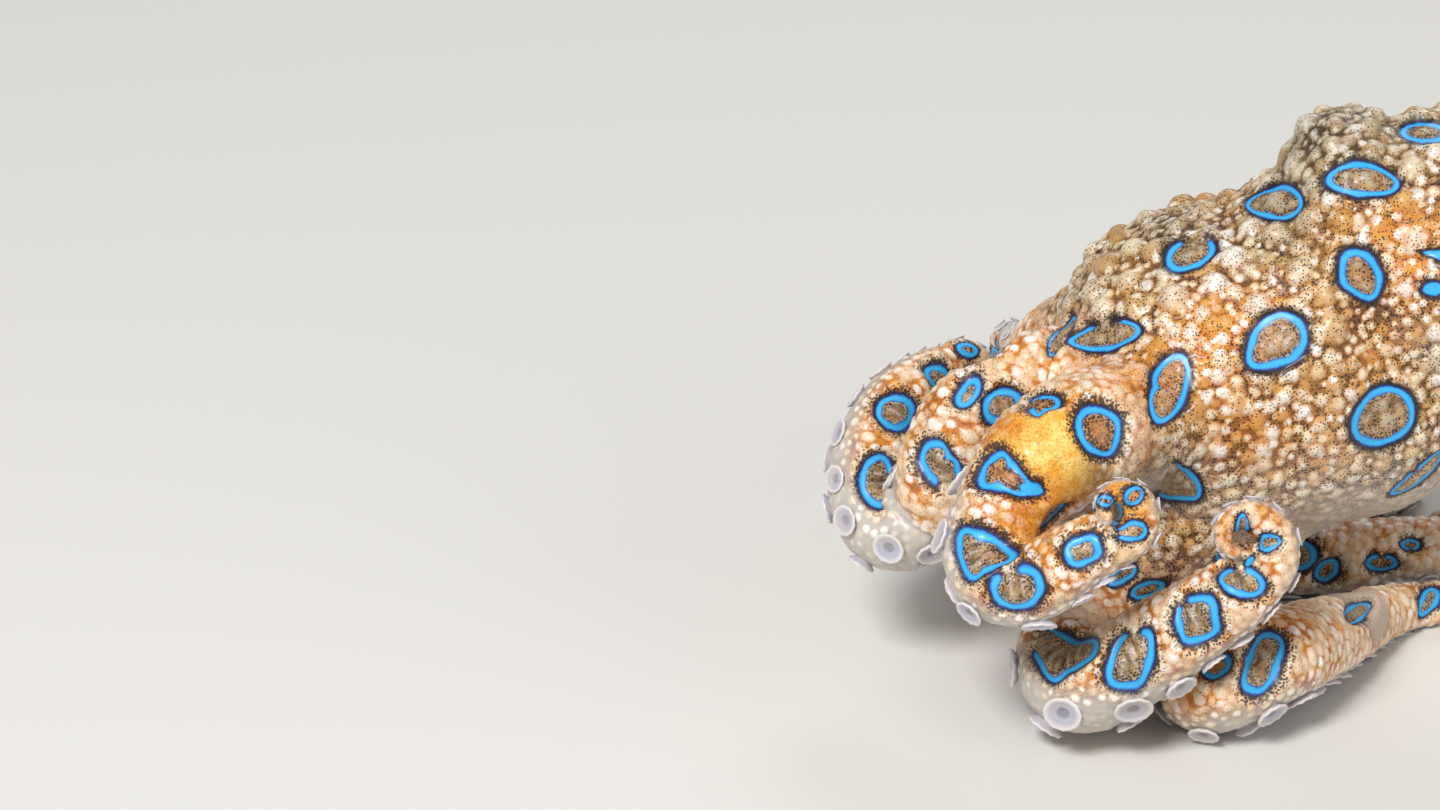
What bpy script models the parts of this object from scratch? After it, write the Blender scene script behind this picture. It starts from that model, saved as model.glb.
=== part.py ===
"""A greater blue-ringed octopus at rest on its arms, life-size.

The animal faces -X with its left side towards -Y and stands on the plane Z = 0.
All sizes and places below are millimetres; the last step turns them into metres.
"""

import math
import random
from dataclasses import dataclass

import bmesh
import bpy
import numpy as np
from mathutils import Matrix, Vector

MM = 0.001
GAP = 0.3

# Mantle, neck, head and arm crown: centre, radii and tilt about Y in degrees
MANTLE_BLOBS = {
    "sac": ((45.0, 0.0, 29.5), (20.5, 14.5, 13.5), 6.0),
    "rear": ((58.0, 0.0, 27.5), (10.0, 8.0, 7.5), 8.0),
    "neck": ((27.0, 0.0, 31.0), (12.0, 10.0, 11.0), 0.0),
}
HEAD_BLOBS = {
    "brain": ((14.5, 0.0, 32.6), (12.0, 11.3, 12.2), 0.0),
    "brow": ((6.6, 0.0, 33.0), (6.3, 10.2, 12.3), 0.0),
    "jaw": ((8.0, 0.0, 23.0), (11.0, 12.0, 11.5), 0.0),
}
CROWN_BLOBS = {
    "web": ((-3.0, 0.0, 22.6), (13.5, 14.5, 14.0), 0.0),
    "collar": ((3.0, 0.0, 24.6), (10.0, 13.6, 14.6), 0.0),
}

# Eyes on their low mounds, with a ring of lid round each
EYE_X = 18.5
EYE_SIDE = 10.2
EYE_Z = 37.6
EYE_RADIUS = 3.3
EYE_TILT = 20.0
MOUND_SIDE = 8.0
MOUND_Z = 36.0
MOUND_RADIUS = 5.6
LID_RADIUS = 3.55
LID_THICKNESS = 0.75
LID_OFFSET = 1.5

# Siphon under the left of the neck
SIPHON_ROOT = (26.0, -2.5, 24.0)
SIPHON_FLAT = (21.6, -3.4, 19.2)
SIPHON_MOUTH = (17.8, -4.2, 15.4)
SIPHON_ROOT_RADIUS = 3.2
SIPHON_MOUTH_RADIUS = 2.1
SIPHON_BORE = 1.3
SIPHON_BORE_DEPTH = 3.0

# Planes that part the mantle from the head, and the head from the arm crown
NECK_X = 25.5
CROWN_PLANE = (6.5, 0.0, 30.0)
CROWN_NORMAL = (-0.945, 0.0, -0.327)

# Soft skin: grain of the remesh, rounding passes and triangles that are kept
BODY_VOXEL = 0.8
BODY_ROUNDING = 12
BODY_TRIANGLES = 2500

# Arms: spacing of the sections, sides of the tube, and the view that the curls face
SECTION_STEP = 1.9
SQUARE_END = 0.3
ARM_SIDES_RESOLUTION = 2
VIEW_TILT = math.radians(25.0)
FACING = (0.0, -math.cos(VIEW_TILT), math.sin(VIEW_TILT))
UP = (0.0, 0.0, 1.0)
ASIDE = (1.0, 0.0, 0.0)
STUMP_SPARE = 2.5
ROOM_LENGTH = 12.0
ROOM_GROWTH = 0.55
LINE_STEPS = 24
FLAT_DEPTH = 0.35
LIE_ROUNDING = 15
ARM_VOXEL = 0.5
ARM_TRIANGLES_PER_MM = 10

# Where an arm is parted: on its straightest stretch within a reach, judged over a window
SPLIT_REACH = 6.0
SPLIT_WINDOW = 1.5

# Suckers: two staggered rows on the oral side
SUCKER_SIDES = 6
SUCKER_SHARE = 0.34
SUCKER_SPREAD = math.radians(27.0)
SUCKER_STEP = 1.55
SUCKER_EDGE = 1.3
SUCKER_STEP_LEAST = 1.5
SUCKER_HEIGHT = 0.5
SUCKER_FLARE = 0.78
SUCKER_CUP = 0.45
SUCKER_ROOT = 0.45
SUCKER_VARIES = 0.1


@dataclass(frozen=True)
class Arm:
    """One arm: the points its middle line passes, then a flat coil at its tip.

    The girth gives the radius, and oral the direction of the sucker side,
    at shares of the arm's length.
    """

    name: str
    points: tuple
    girth: tuple
    turn: int
    coil_centre: tuple
    coil_axis: tuple
    coil_turns: float
    coil_inner: float
    root: float
    oral: tuple
    roll: float


ARMS = (
    Arm("arm_left_1",
        ((-2, -3, 25), (-11, -4.6, 25.6), (-17.9, -5.6, 24.7), (-22.1, -7, 22.9),
         (-24.3, -8.4, 20), (-25.6, -8.8, 16.5), (-27.2, -8.8, 13.7), (-29.3, -8, 13.1),
         (-30.7, -6.2, 14.8), (-30.6, -4.4, 17.8), (-29.1, -2.2, 20.4), (-26.5, 0.8, 21.8),
         (-24.1, 3.8, 22.1)),
        ((0, 4.1), (0.38, 3.8), (0.48, 3.55), (0.66, 3.3), (0.77, 2.8), (0.85, 2.0), (0.92, 1.1), (1, 0.45)),
        -1, (-22.4, 6.2, 20), FACING, 0.8, 0.9, 15.0,
        ((0.25, (0.1, 0.5, -0.9)), (0.37, (0.1, 0.6, -0.7)), (0.43, (-0.3, 0.7, -0.6)),
         (0.48, (-0.7, 0.5, -0.2)), (0.53, (-0.3, -0.8, -0.5)), (0.57, (-0.4, -0.8, -0.5)),
         (0.6, (-0.8, -0.5, -0.2)), (0.63, (-0.9, -0.2, 0)), (0.67, (-0.9, 0, 0.1)),
         (0.73, (-0.8, 0.4, 0.2))),
        40.0),
    Arm("arm_left_2",
        ((-2, -6, 22), (-9, -11, 23.6), (-14.1, -14.6, 24.5), (-17.9, -17, 23.3),
         (-20.5, -19, 20.7), (-22.1, -21, 17.9), (-21.1, -23.6, 16.3), (-18, -25.2, 17.3),
         (-15.3, -25.8, 19.8), (-12.8, -25.2, 20.7)),
        ((0, 5.2), (0.34, 4.9), (0.43, 4.3), (0.5, 3.9), (0.65, 3.4), (0.73, 2.9), (0.81, 2.4), (0.87, 1.6), (0.93, 0.95), (1, 0.45)),
        1, (-12.6, -26.2, 23.7), FACING, 0.95, 0.8, 15.5,
        ((0.29, (-0.1, 0.1, -1)), (0.37, (0, 0.6, -0.8)), (0.44, (-0.5, 0.9, -0.1)),
         (0.52, (-0.9, 0.4, 0)), (0.56, (-0.9, -0.1, -0.4)), (0.6, (-0.6, -0.3, -0.7)),
         (0.64, (0.2, -0.3, -0.9)), (0.68, (0.5, -0.1, -0.9))),
        30.0),
    Arm("arm_left_3",
        ((-1, -6, 19), (-6.5, -9, 14), (-11.3, -9.4, 7.9), (-13.5, -12, 6.4),
         (-15.1, -14.8, 5.4), (-15.5, -17.6, 5.2), (-14.1, -20, 5.4), (-11, -21, 7.6),
         (-8.1, -21.4, 10), (-5.6, -22, 12.3), (-2.5, -22.2, 15), (-0.5, -22, 17.2)),
        ((0, 4.3), (0.35, 4.1), (0.56, 3.9), (0.63, 3.65), (0.755, 3.0), (0.83, 2.3), (0.885, 1.5), (0.94, 0.95), (1, 0.45)),
        1, (-2.8, -23.4, 19.7), FACING, 0.9, 0.7, 14.0,
        ((0.25, (0.4, 0.6, -0.7)), (0.33, (0, 0.3, -0.9)), (0.39, (-0.4, -0.2, -0.9)),
         (0.44, (-0.8, -0.3, -0.4)), (0.48, (-0.6, -0.6, -0.5)), (0.52, (0, -0.7, -0.6)),
         (0.56, (0.3, -0.6, -0.8)), (0.62, (0.5, -0.2, -0.8)), (0.68, (0.7, 0, -0.8))),
        30.0),
    Arm("arm_left_4",
        ((0.5, -4.5, 14.5), (-1, -7, 10), (-3, -9.8, 6.6), (-5, -13.2, 3.5),
         (-3.8, -18.2, 4), (0.3, -17.6, 6.1), (3.7, -12.9, 5.2), (7.9, -6.2, 3.3),
         (12, -0.6, 1.9), (16.1, 1.6, 1.5), (19.7, 1, 1.6), (22.6, -0.8, 1.2)),
        ((0, 4.2), (0.2, 3.7), (0.4, 3.65), (0.52, 3.3), (0.6, 2.75), (0.7, 2.1), (0.8, 1.6), (0.9, 1.0), (1, 0.45)),
        -1, (22.4, -3.8, 1), UP, 0.8, 0.9, 13.5,
        ((0.18, (0.2, 0.6, -0.7)), (0.24, (-0.2, 0.1, -0.9)), (0.28, (0, -0.1, -1)),
         (0.31, (0.1, -0.4, -0.9)), (0.36, (0.3, -0.3, -0.9)), (0.42, (-0.1, 0, -1)),
         (0.6, (-0.2, 0, -1))),
        80.0),
    Arm("arm_right_1",
        ((-2, 3, 25), (-9.5, 6.5, 24), (-14, 11.5, 19.5), (-16.5, 15.5, 13), (-18, 18.5, 6.5),
         (-18.2, 22.5, 3.5), (-18, 27, 4.5), (-17.6, 29.6, 9)),
        ((0, 4.6), (0.3, 4.4), (0.5, 3.8), (0.65, 3.1), (0.8, 2.1), (0.9, 1.25), (1, 0.45)),
        1, (-17, 25.8, 11), ASIDE, 0.8, 0.9, 16.5,
        ((0.27, (0.2, -0.4, -1)), (0.46, (0, 0, -1))), 10.0),
    Arm("arm_right_2",
        ((-1, 6, 22), (-4.5, 12, 20), (-6, 17, 15), (-6.5, 20.5, 9), (-6.2, 24.5, 4),
         (-5.6, 29.5, 4), (-5, 33, 8.5)),
        ((0, 4.8), (0.3, 4.5), (0.5, 3.9), (0.65, 3.1), (0.8, 2.1), (0.9, 1.25), (1, 0.45)),
        1, (-4.6, 29.6, 10.8), ASIDE, 0.8, 1.0, 14.0,
        ((0.27, (0.2, -0.7, -0.7)), (0.44, (0, 0, -1))), 10.0),
    Arm("arm_right_3",
        ((1, 6, 18), (3, 11.5, 14.5), (3.8, 16.5, 9), (4, 21, 4.2), (6, 26, 3),
         (11, 28.8, 2.6), (15.6, 25.6, 2.0)),
        ((0, 4.6), (0.3, 4.4), (0.5, 3.8), (0.65, 3.1), (0.8, 2.1), (0.9, 1.25), (1, 0.45)),
        -1, (12, 23.4, 1.3), UP, 0.8, 0.9, 13.0,
        ((0.25, (0, -0.6, -0.8)), (0.36, (0, 0, -1))), 80.0),
    Arm("arm_right_4",
        ((2, 2, 15), (-2.5, 1.6, 10.5), (-6.8, 0, 7), (-10.8, 1.2, 4), (-12, 5.4, 3),
         (-9.2, 9.2, 3), (-4.5, 9.8, 3), (0.5, 8, 2.8), (6.2, 7, 2.8), (11, 7.2, 3.2),
         (15.6, 7.8, 3.4), (20, 10.2, 2.6), (22, 14.4, 1.6)),
        ((0, 4.2), (0.3, 4.0), (0.5, 3.7), (0.6, 3.3), (0.72, 2.7), (0.82, 2.0), (0.91, 1.2), (1, 0.45)),
        1, (19.2, 15.2, 1.2), UP, 0.8, 0.8, 11.5,
        ((0.16, (0.5, 0, -0.9)), (0.48, (0, 0, -1))), 80.0),
)

# Finishes: colour, roughness
FINISHES = {
    "mottled_skin": ((0.62, 0.42, 0.2, 1.0), 0.45),
    "eye_gloss": ((0.05, 0.04, 0.03, 1.0), 0.08),
}


def clear_scene():
    """Remove every object that the scene starts with."""
    for item in list(bpy.data.objects):
        bpy.data.objects.remove(item, do_unlink=True)


def new_collection(name):
    """Return a new collection that is linked to the scene."""
    collection = bpy.data.collections.new(name)
    bpy.context.scene.collection.children.link(collection)
    return collection


def make_material(name):
    """Return the Principled material of a named finish."""
    colour, roughness = FINISHES[name]
    material = bpy.data.materials.new(name)
    material.use_nodes = True
    shader = material.node_tree.nodes["Principled BSDF"]
    shader.inputs["Base Color"].default_value = colour
    shader.inputs["Roughness"].default_value = roughness
    shader.inputs["Metallic"].default_value = 0.0
    return material


def object_of(name, mesh, collection):
    """Return a new object that holds the mesh, in the collection."""
    item = bpy.data.objects.new(name, mesh)
    collection.objects.link(item)
    return item


def mesh_of(name, form):
    """Return a mesh made from a bmesh, which is freed."""
    mesh = bpy.data.meshes.new(name)
    form.to_mesh(mesh)
    form.free()
    return mesh


def settled(item):
    """Apply an object's modifiers, so that its mesh is what they made of it."""
    graph = bpy.context.evaluated_depsgraph_get()
    mesh = bpy.data.meshes.new_from_object(item.evaluated_get(graph))
    item.modifiers.clear()
    item.data = mesh


def joined(item, collection, operation, solver="EXACT"):
    """Boolean an object with every mesh of a collection, then remove those."""
    boolean = item.modifiers.new("join", "BOOLEAN")
    boolean.operand_type = "COLLECTION"
    boolean.collection = collection
    boolean.operation = operation
    boolean.solver = solver
    settled(item)
    for other in list(collection.objects):
        bpy.data.objects.remove(other, do_unlink=True)


def keep_largest(item):
    """Keep only the largest closed surface of an object's mesh."""
    form = bmesh.new()
    form.from_mesh(item.data)
    bmesh.ops.triangulate(form, faces=form.faces)
    unseen = set(form.faces)
    shells = []
    while unseen:
        front = [unseen.pop()]
        shell = list(front)
        while front:
            face = front.pop()
            for edge in face.edges:
                for near in edge.link_faces:
                    if near in unseen:
                        unseen.discard(near)
                        front.append(near)
                        shell.append(near)
        shells.append(shell)
    shells.sort(key=lambda shell: sum(face.calc_area() for face in shell))
    for shell in shells[:-1]:
        bmesh.ops.delete(form, geom=shell, context="FACES")
    form.to_mesh(item.data)
    form.free()


def half_of(item, point, normal):
    """Cut an object at a plane, keep the side that the normal points to, and close it."""
    form = bmesh.new()
    form.from_mesh(item.data)
    geometry = list(form.verts) + list(form.edges) + list(form.faces)
    bmesh.ops.bisect_plane(form, geom=geometry, plane_co=point, plane_no=normal, clear_inner=True)
    rim = [edge for edge in form.edges if edge.is_boundary]
    bmesh.ops.holes_fill(form, edges=rim, sides=0)
    bmesh.ops.triangulate(form, faces=form.faces)
    form.to_mesh(item.data)
    form.free()


def ellipsoid(name, centre, radii, tilt, collection):
    """Make a ball that is stretched to three radii and tilted about Y."""
    form = bmesh.new()
    bmesh.ops.create_uvsphere(form, u_segments=32, v_segments=20, radius=1.0)
    place = Matrix.Translation(centre) @ Matrix.Rotation(math.radians(tilt), 4, "Y")
    form.transform(place @ Matrix.Diagonal((*radii, 1.0)))
    return object_of(name, mesh_of(name, form), collection)


def smooth_line(points):
    """Return a fine smooth line through the points (centripetal Catmull-Rom)."""
    points = np.asarray(points, dtype=float)
    ends = (2 * points[0] - points[1], 2 * points[-1] - points[-2])
    knots = np.vstack([ends[0], points, ends[1]])
    line = []
    for a, b, c, d in zip(knots, knots[1:], knots[2:], knots[3:]):
        t1 = math.sqrt(np.linalg.norm(b - a))
        t2 = t1 + math.sqrt(np.linalg.norm(c - b))
        t3 = t2 + math.sqrt(np.linalg.norm(d - c))
        for t in np.linspace(t1, t2, LINE_STEPS, endpoint=False):
            ab = (a * (t1 - t) + b * t) / t1
            bc = (b * (t2 - t) + c * (t - t1)) / (t2 - t1)
            cd = (c * (t3 - t) + d * (t - t2)) / (t3 - t2)
            abc = (ab * (t2 - t) + bc * t) / t2
            bcd = (bc * (t3 - t) + cd * (t - t1)) / (t3 - t1)
            line.append((abc * (t2 - t) + bcd * (t - t1)) / (t2 - t1))
    line.append(points[-1])
    return np.array(line)


def coil_points(arm):
    """Return the points of the flat coil that an arm's tip ends in."""
    centre = np.array(arm.coil_centre, dtype=float)
    axis = np.array(arm.coil_axis, dtype=float)
    reach = np.array(arm.points[-1], dtype=float) - centre
    rise = reach @ axis
    outward = reach - rise * axis
    radius = np.linalg.norm(outward)
    outward /= radius
    sideways = arm.turn * np.cross(axis, outward)
    whole = math.tau * arm.coil_turns
    coil = []
    for angle in np.arange(math.radians(30.0), whole + 0.001, math.radians(30.0)):
        share = angle / whole
        bend = math.cos(angle) * outward + math.sin(angle) * sideways
        coil.append(centre + axis * rise * (1 - share) + bend * (radius + (arm.coil_inner - radius) * share))
    return coil


class Route:
    """The middle line of an arm, with its radius and oral side at any distance along it."""

    def __init__(self, arm):
        self.arm = arm
        self.line = smooth_line(list(arm.points) + coil_points(arm))
        self.measure()
        self.lie_down()
        self.measure()
        coil = self.marks[LINE_STEPS * (len(arm.points) - 1)]
        self.coil_at = self.straightest(coil - SPLIT_REACH, coil + SPLIT_REACH / 2)
        middle = (arm.root + self.coil_at) / 2
        self.bend_at = self.straightest(middle - SPLIT_REACH, middle + SPLIT_REACH)

    def measure(self):
        """Note how far along the line each of its points is."""
        steps = np.linalg.norm(np.diff(self.line, axis=0), axis=1)
        self.marks = np.concatenate([[0.0], np.cumsum(steps)])
        self.length = self.marks[-1]

    def lie_down(self):
        """Lift what would sink, so that the arm lies on the floor on a narrow flat."""
        least = np.array([self.radius(mark) for mark in self.marks]) - FLAT_DEPTH
        height = np.maximum(self.line[:, 2], least)
        window = np.ones(LIE_ROUNDING) / LIE_ROUNDING
        padded = np.pad(height, LIE_ROUNDING // 2, mode="edge")
        self.line[:, 2] = np.maximum(np.convolve(padded, window, mode="valid"), least)

    def at(self, distance):
        """Return the point at a distance along the line."""
        return np.array([np.interp(distance, self.marks, self.line[:, axis]) for axis in range(3)])

    def along(self, distance):
        """Return the unit direction of the line there."""
        step = self.at(min(distance + 0.4, self.length)) - self.at(max(distance - 0.4, 0.0))
        return step / np.linalg.norm(step)

    def straightest(self, low, high):
        """Return the distance between two others at which the line bends least."""
        spots = np.linspace(low, high, 40)
        bends = [self.along(spot - SPLIT_WINDOW) @ self.along(spot + SPLIT_WINDOW) for spot in spots]
        return spots[int(np.argmax(bends))]

    def radius(self, distance):
        """Return the arm's radius there."""
        return float(np.interp(distance / self.length, *zip(*self.arm.girth)))

    def oral(self, distance):
        """Return the unit direction of the sucker side there."""
        along = self.along(distance)
        axis = np.array(self.arm.coil_axis)
        roll = math.radians(self.arm.roll)
        outward = math.cos(roll) * self.arm.turn * np.cross(along, axis) - math.sin(roll) * axis
        shares, hints = zip(*self.arm.oral)
        share = distance / self.length
        hint = np.array([np.interp(share, shares, part) for part in zip(*hints)])
        blend = np.interp(share, (shares[-1], self.coil_at / self.length), (0.0, 1.0))
        side = hint / np.linalg.norm(hint) * (1 - blend) + outward * blend
        side -= along * (side @ along)
        return side / np.linalg.norm(side)


def tube(name, route, start, end, collection, grow=0.0):
    """Make the round length of an arm between two distances, with flat ends."""
    count = max(3, round((end - start) / SECTION_STEP) + 1)
    spots = [start, *np.linspace(start + SQUARE_END, end - SQUARE_END, count), end]
    curve = bpy.data.curves.new(name, "CURVE")
    curve.dimensions = "3D"
    curve.bevel_depth = 1.0
    curve.bevel_resolution = ARM_SIDES_RESOLUTION
    curve.use_fill_caps = True
    spline = curve.splines.new("POLY")
    spline.points.add(len(spots) - 1)
    for point, distance in zip(spline.points, spots):
        point.co = (*route.at(distance), 1.0)
        point.radius = route.radius(distance) + grow
    item = object_of(name, curve, collection)
    graph = bpy.context.evaluated_depsgraph_get()
    mesh = bpy.data.meshes.new_from_object(item.evaluated_get(graph))
    bpy.data.objects.remove(item, do_unlink=True)
    form = bmesh.new()
    form.from_mesh(mesh)
    bmesh.ops.remove_doubles(form, verts=form.verts, dist=0.01)
    bmesh.ops.recalc_face_normals(form, faces=form.faces)
    return object_of(name, mesh_of(name, form), collection)


def sucker(name, root, direction, radius, depth, collection):
    """Make one flared cup that grows from its root along a direction."""
    height = depth + radius * SUCKER_HEIGHT
    form = bmesh.new()
    bmesh.ops.create_cone(form, cap_ends=True, segments=SUCKER_SIDES, radius1=radius * SUCKER_FLARE,
                          radius2=radius, depth=height)
    rim = max(form.faces, key=lambda face: face.calc_center_median().z)
    hollow = bmesh.ops.poke(form, faces=[rim])["verts"][0]
    hollow.co.z -= radius * SUCKER_CUP
    turn = Vector((0.0, 0.0, 1.0)).rotation_difference(Vector(direction))
    middle = Vector(root) + Vector(direction) * height / 2
    form.transform(Matrix.Translation(middle) @ turn.to_matrix().to_4x4())
    return object_of(name, mesh_of(name, form), collection)


def sucker_rows(route, start, end, collection, rng):
    """Make the suckers of an arm's length, in two staggered rows."""
    distance = start + (route.radius(start) * SUCKER_SHARE + 0.1) * (SUCKER_EDGE + 0.15)
    row = 1
    while distance < end:
        radius = route.radius(distance)
        cup = radius * SUCKER_SHARE + 0.1
        cup *= 1.0 + rng.uniform(-SUCKER_VARIES, SUCKER_VARIES)
        if start + cup * SUCKER_EDGE < distance < end - cup * SUCKER_EDGE:
            along = route.along(distance)
            oral = route.oral(distance)
            side = np.cross(along, oral)
            lean = SUCKER_SPREAD * row
            out = math.cos(lean) * oral + math.sin(lean) * side
            depth = radius * SUCKER_ROOT
            sucker("sucker", route.at(distance) + out * (radius - depth), out, cup, depth, collection)
        distance += max(cup * SUCKER_STEP, SUCKER_STEP_LEAST)
        row = -row


def floor_block(collection):
    """Make the block of space under the floor, which trims what rests on it."""
    form = bmesh.new()
    bmesh.ops.create_cube(form, size=1.0)
    form.transform(Matrix.Translation((10.0, 0.0, -10.0)) @ Matrix.Diagonal((200.0, 200.0, 20.0, 1.0)))
    return object_of("floor_trim", mesh_of("floor_trim", form), collection)


def even_out(item, voxel, rounding, triangles):
    """Rebuild a surface as one skin, round it, and thin it to a number of triangles."""
    remesh = item.modifiers.new("skin", "REMESH")
    remesh.mode = "VOXEL"
    remesh.voxel_size = voxel
    if rounding:
        smooth = item.modifiers.new("round", "SMOOTH")
        smooth.factor = 0.5
        smooth.iterations = rounding
    settled(item)
    form = bmesh.new()
    form.from_mesh(item.data)
    bmesh.ops.triangulate(form, faces=form.faces)
    count = len(form.faces)
    form.to_mesh(item.data)
    form.free()
    decimate = item.modifiers.new("thin", "DECIMATE")
    decimate.ratio = triangles / count
    settled(item)


def rounded_body(routes, spare):
    """Fuse mantle, head and crown with the arms' stumps into one smooth surface."""
    for blobs in (MANTLE_BLOBS, HEAD_BLOBS, CROWN_BLOBS):
        for name, (centre, radii, tilt) in blobs.items():
            ellipsoid(name, centre, radii, tilt, spare)
    for side in (-1, 1):
        ellipsoid("mound", (EYE_X, side * MOUND_SIDE, MOUND_Z), (MOUND_RADIUS,) * 3, 0.0, spare)
    for route in routes:
        tube("stump", route, 0.0, route.arm.root + STUMP_SPARE, spare)
    cone_between("siphon_stump", SIPHON_ROOT, SIPHON_MOUTH, SIPHON_ROOT_RADIUS, SIPHON_MOUTH_RADIUS, spare)
    whole = bmesh.new()
    for part in list(spare.objects):
        whole.from_mesh(part.data)
        bpy.data.objects.remove(part, do_unlink=True)
    body = object_of("body", mesh_of("body", whole), spare)
    even_out(body, BODY_VOXEL, BODY_ROUNDING, BODY_TRIANGLES)
    return body


def cone_between(name, start, end, start_radius, end_radius, collection):
    """Make a tapered round bar between two points."""
    start = Vector(start)
    run = Vector(end) - start
    form = bmesh.new()
    bmesh.ops.create_cone(form, cap_ends=True, segments=16, radius1=start_radius,
                          radius2=end_radius, depth=run.length)
    turn = Vector((0.0, 0.0, 1.0)).rotation_difference(run.normalized())
    form.transform(Matrix.Translation(start + run / 2) @ turn.to_matrix().to_4x4())
    return object_of(name, mesh_of(name, form), collection)


def copy_of(item, name, collection):
    """Return a copy of an object with a mesh of its own."""
    return object_of(name, item.data.copy(), collection)


def eye_place(side):
    """Return the centre and the outward direction of one eye."""
    centre = Vector((EYE_X, side * EYE_SIDE, EYE_Z))
    tilt = math.radians(EYE_TILT)
    return centre, Vector((0.0, side * math.cos(tilt), math.sin(tilt)))


def eyeball(name, side, radius, collection):
    """Make one eyeball, or the socket for it when the radius is larger."""
    centre, outward = eye_place(side)
    form = bmesh.new()
    bmesh.ops.create_uvsphere(form, u_segments=14, v_segments=9, radius=radius)
    turn = Vector((0.0, 0.0, 1.0)).rotation_difference(outward)
    form.transform(Matrix.Translation(centre) @ turn.to_matrix().to_4x4())
    return object_of(name, mesh_of(name, form), collection)


def lid(side, collection):
    """Make the ring of lid that stands round one eye."""
    centre, outward = eye_place(side)
    bpy.ops.mesh.primitive_torus_add(major_segments=16, minor_segments=5, major_radius=LID_RADIUS,
                                     minor_radius=LID_THICKNESS)
    ring = bpy.context.active_object
    turn = Vector((0.0, 0.0, 1.0)).rotation_difference(outward)
    ring.data.transform(Matrix.Translation(centre + outward * LID_OFFSET) @ turn.to_matrix().to_4x4())
    for holder in list(ring.users_collection):
        holder.objects.unlink(ring)
    collection.objects.link(ring)
    return ring


def make_trunk(routes, parts, cutters):
    """Make the mantle, head, crown and siphon from one rounded body."""
    body = rounded_body(routes, cutters)
    mantle = copy_of(body, "mantle", parts)
    head = copy_of(body, "head", parts)
    crown = copy_of(body, "crown", parts)
    bpy.data.objects.remove(body, do_unlink=True)

    half_of(mantle, (NECK_X + GAP / 2, 0.0, 0.0), (1.0, 0.0, 0.0))
    half_of(head, (NECK_X - GAP / 2, 0.0, 0.0), (-1.0, 0.0, 0.0))
    normal = Vector(CROWN_NORMAL).normalized()
    point = Vector(CROWN_PLANE)
    half_of(head, point - normal * GAP / 2, -normal)
    half_of(crown, point + normal * GAP / 2, normal)

    for side in (-1, 1):
        lid(side, cutters)
    joined(head, cutters, "UNION")
    for side in (-1, 1):
        eyeball("socket", side, EYE_RADIUS + GAP, cutters)
    siphon_trim(cutters)
    joined(head, cutters, "DIFFERENCE")
    keep_largest(head)

    for route in routes:
        tube("arm_room", route, route.arm.root, route.arm.root + ROOM_LENGTH, cutters, ROOM_GROWTH)
    floor_block(cutters)
    joined(crown, cutters, "DIFFERENCE")
    keep_largest(crown)
    keep_largest(mantle)
    return mantle, head, crown


def siphon_trim(collection):
    """Make the drum that trims the siphon's stump flat."""
    flat = Vector(SIPHON_FLAT)
    away = (Vector(SIPHON_MOUTH) - Vector(SIPHON_ROOT)).normalized()
    radius = SIPHON_ROOT_RADIUS + 1.0
    return cone_between("siphon_trim", flat, flat + away * 9.0, radius, radius, collection)


def make_siphon(parts, cutters):
    """Make the free length of the siphon, with the bore at its mouth."""
    mouth = Vector(SIPHON_MOUTH)
    away = (mouth - Vector(SIPHON_ROOT)).normalized()
    root = Vector(SIPHON_FLAT) + away * GAP
    share = (root - Vector(SIPHON_ROOT)).length / (mouth - Vector(SIPHON_ROOT)).length
    radius = SIPHON_ROOT_RADIUS + (SIPHON_MOUTH_RADIUS - SIPHON_ROOT_RADIUS) * share
    siphon = cone_between("siphon", root, mouth, radius, SIPHON_MOUTH_RADIUS, parts)
    inner = mouth - away * SIPHON_BORE_DEPTH
    cone_between("bore", inner, mouth + away, SIPHON_BORE * 0.8, SIPHON_BORE, cutters)
    joined(siphon, cutters, "DIFFERENCE")
    return siphon


def make_arm(route, parts, cutters, rng):
    """Make the three lengths of one arm, each with its suckers."""
    arm = route.arm
    stops = (arm.root + GAP, route.bend_at, route.coil_at, route.length)
    lengths = []
    for name, start, end in zip(("upper", "middle", "tip"), stops, stops[1:]):
        last = name == "tip"
        first = name == "upper"
        start = start if first else start + GAP / 2
        end = end if last else end - GAP / 2
        item = tube(f"{arm.name}_{name}", route, start, end, parts)
        if not last:
            even_out(item, ARM_VOXEL, 0, round(ARM_TRIANGLES_PER_MM * (end - start)))
        sucker_rows(route, start, end, cutters, rng)
        joined(item, cutters, "UNION", "MANIFOLD")
        floor_block(cutters)
        joined(item, cutters, "DIFFERENCE", "MANIFOLD")
        keep_largest(item)
        lengths.append(item)
    return lengths


def finish(items, material):
    """Give pieces their material and smooth shading."""
    for item in items:
        item.data.materials.clear()
        item.data.materials.append(material)
        item.data.shade_smooth()
        item.data.set_sharp_from_angle(angle=math.radians(50.0))


def stand_at_origin(parts):
    """Move the model so that its origin is the middle of its foot, and scale it to metres."""
    corners = np.array([vertex.co for item in parts.objects for vertex in item.data.vertices])
    low, high = corners.min(axis=0), corners.max(axis=0)
    middle = Vector(((low[0] + high[0]) / 2, (low[1] + high[1]) / 2, low[2]))
    place = Matrix.Scale(MM, 4) @ Matrix.Translation(-middle)
    for item in parts.objects:
        item.data.transform(place)


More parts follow.
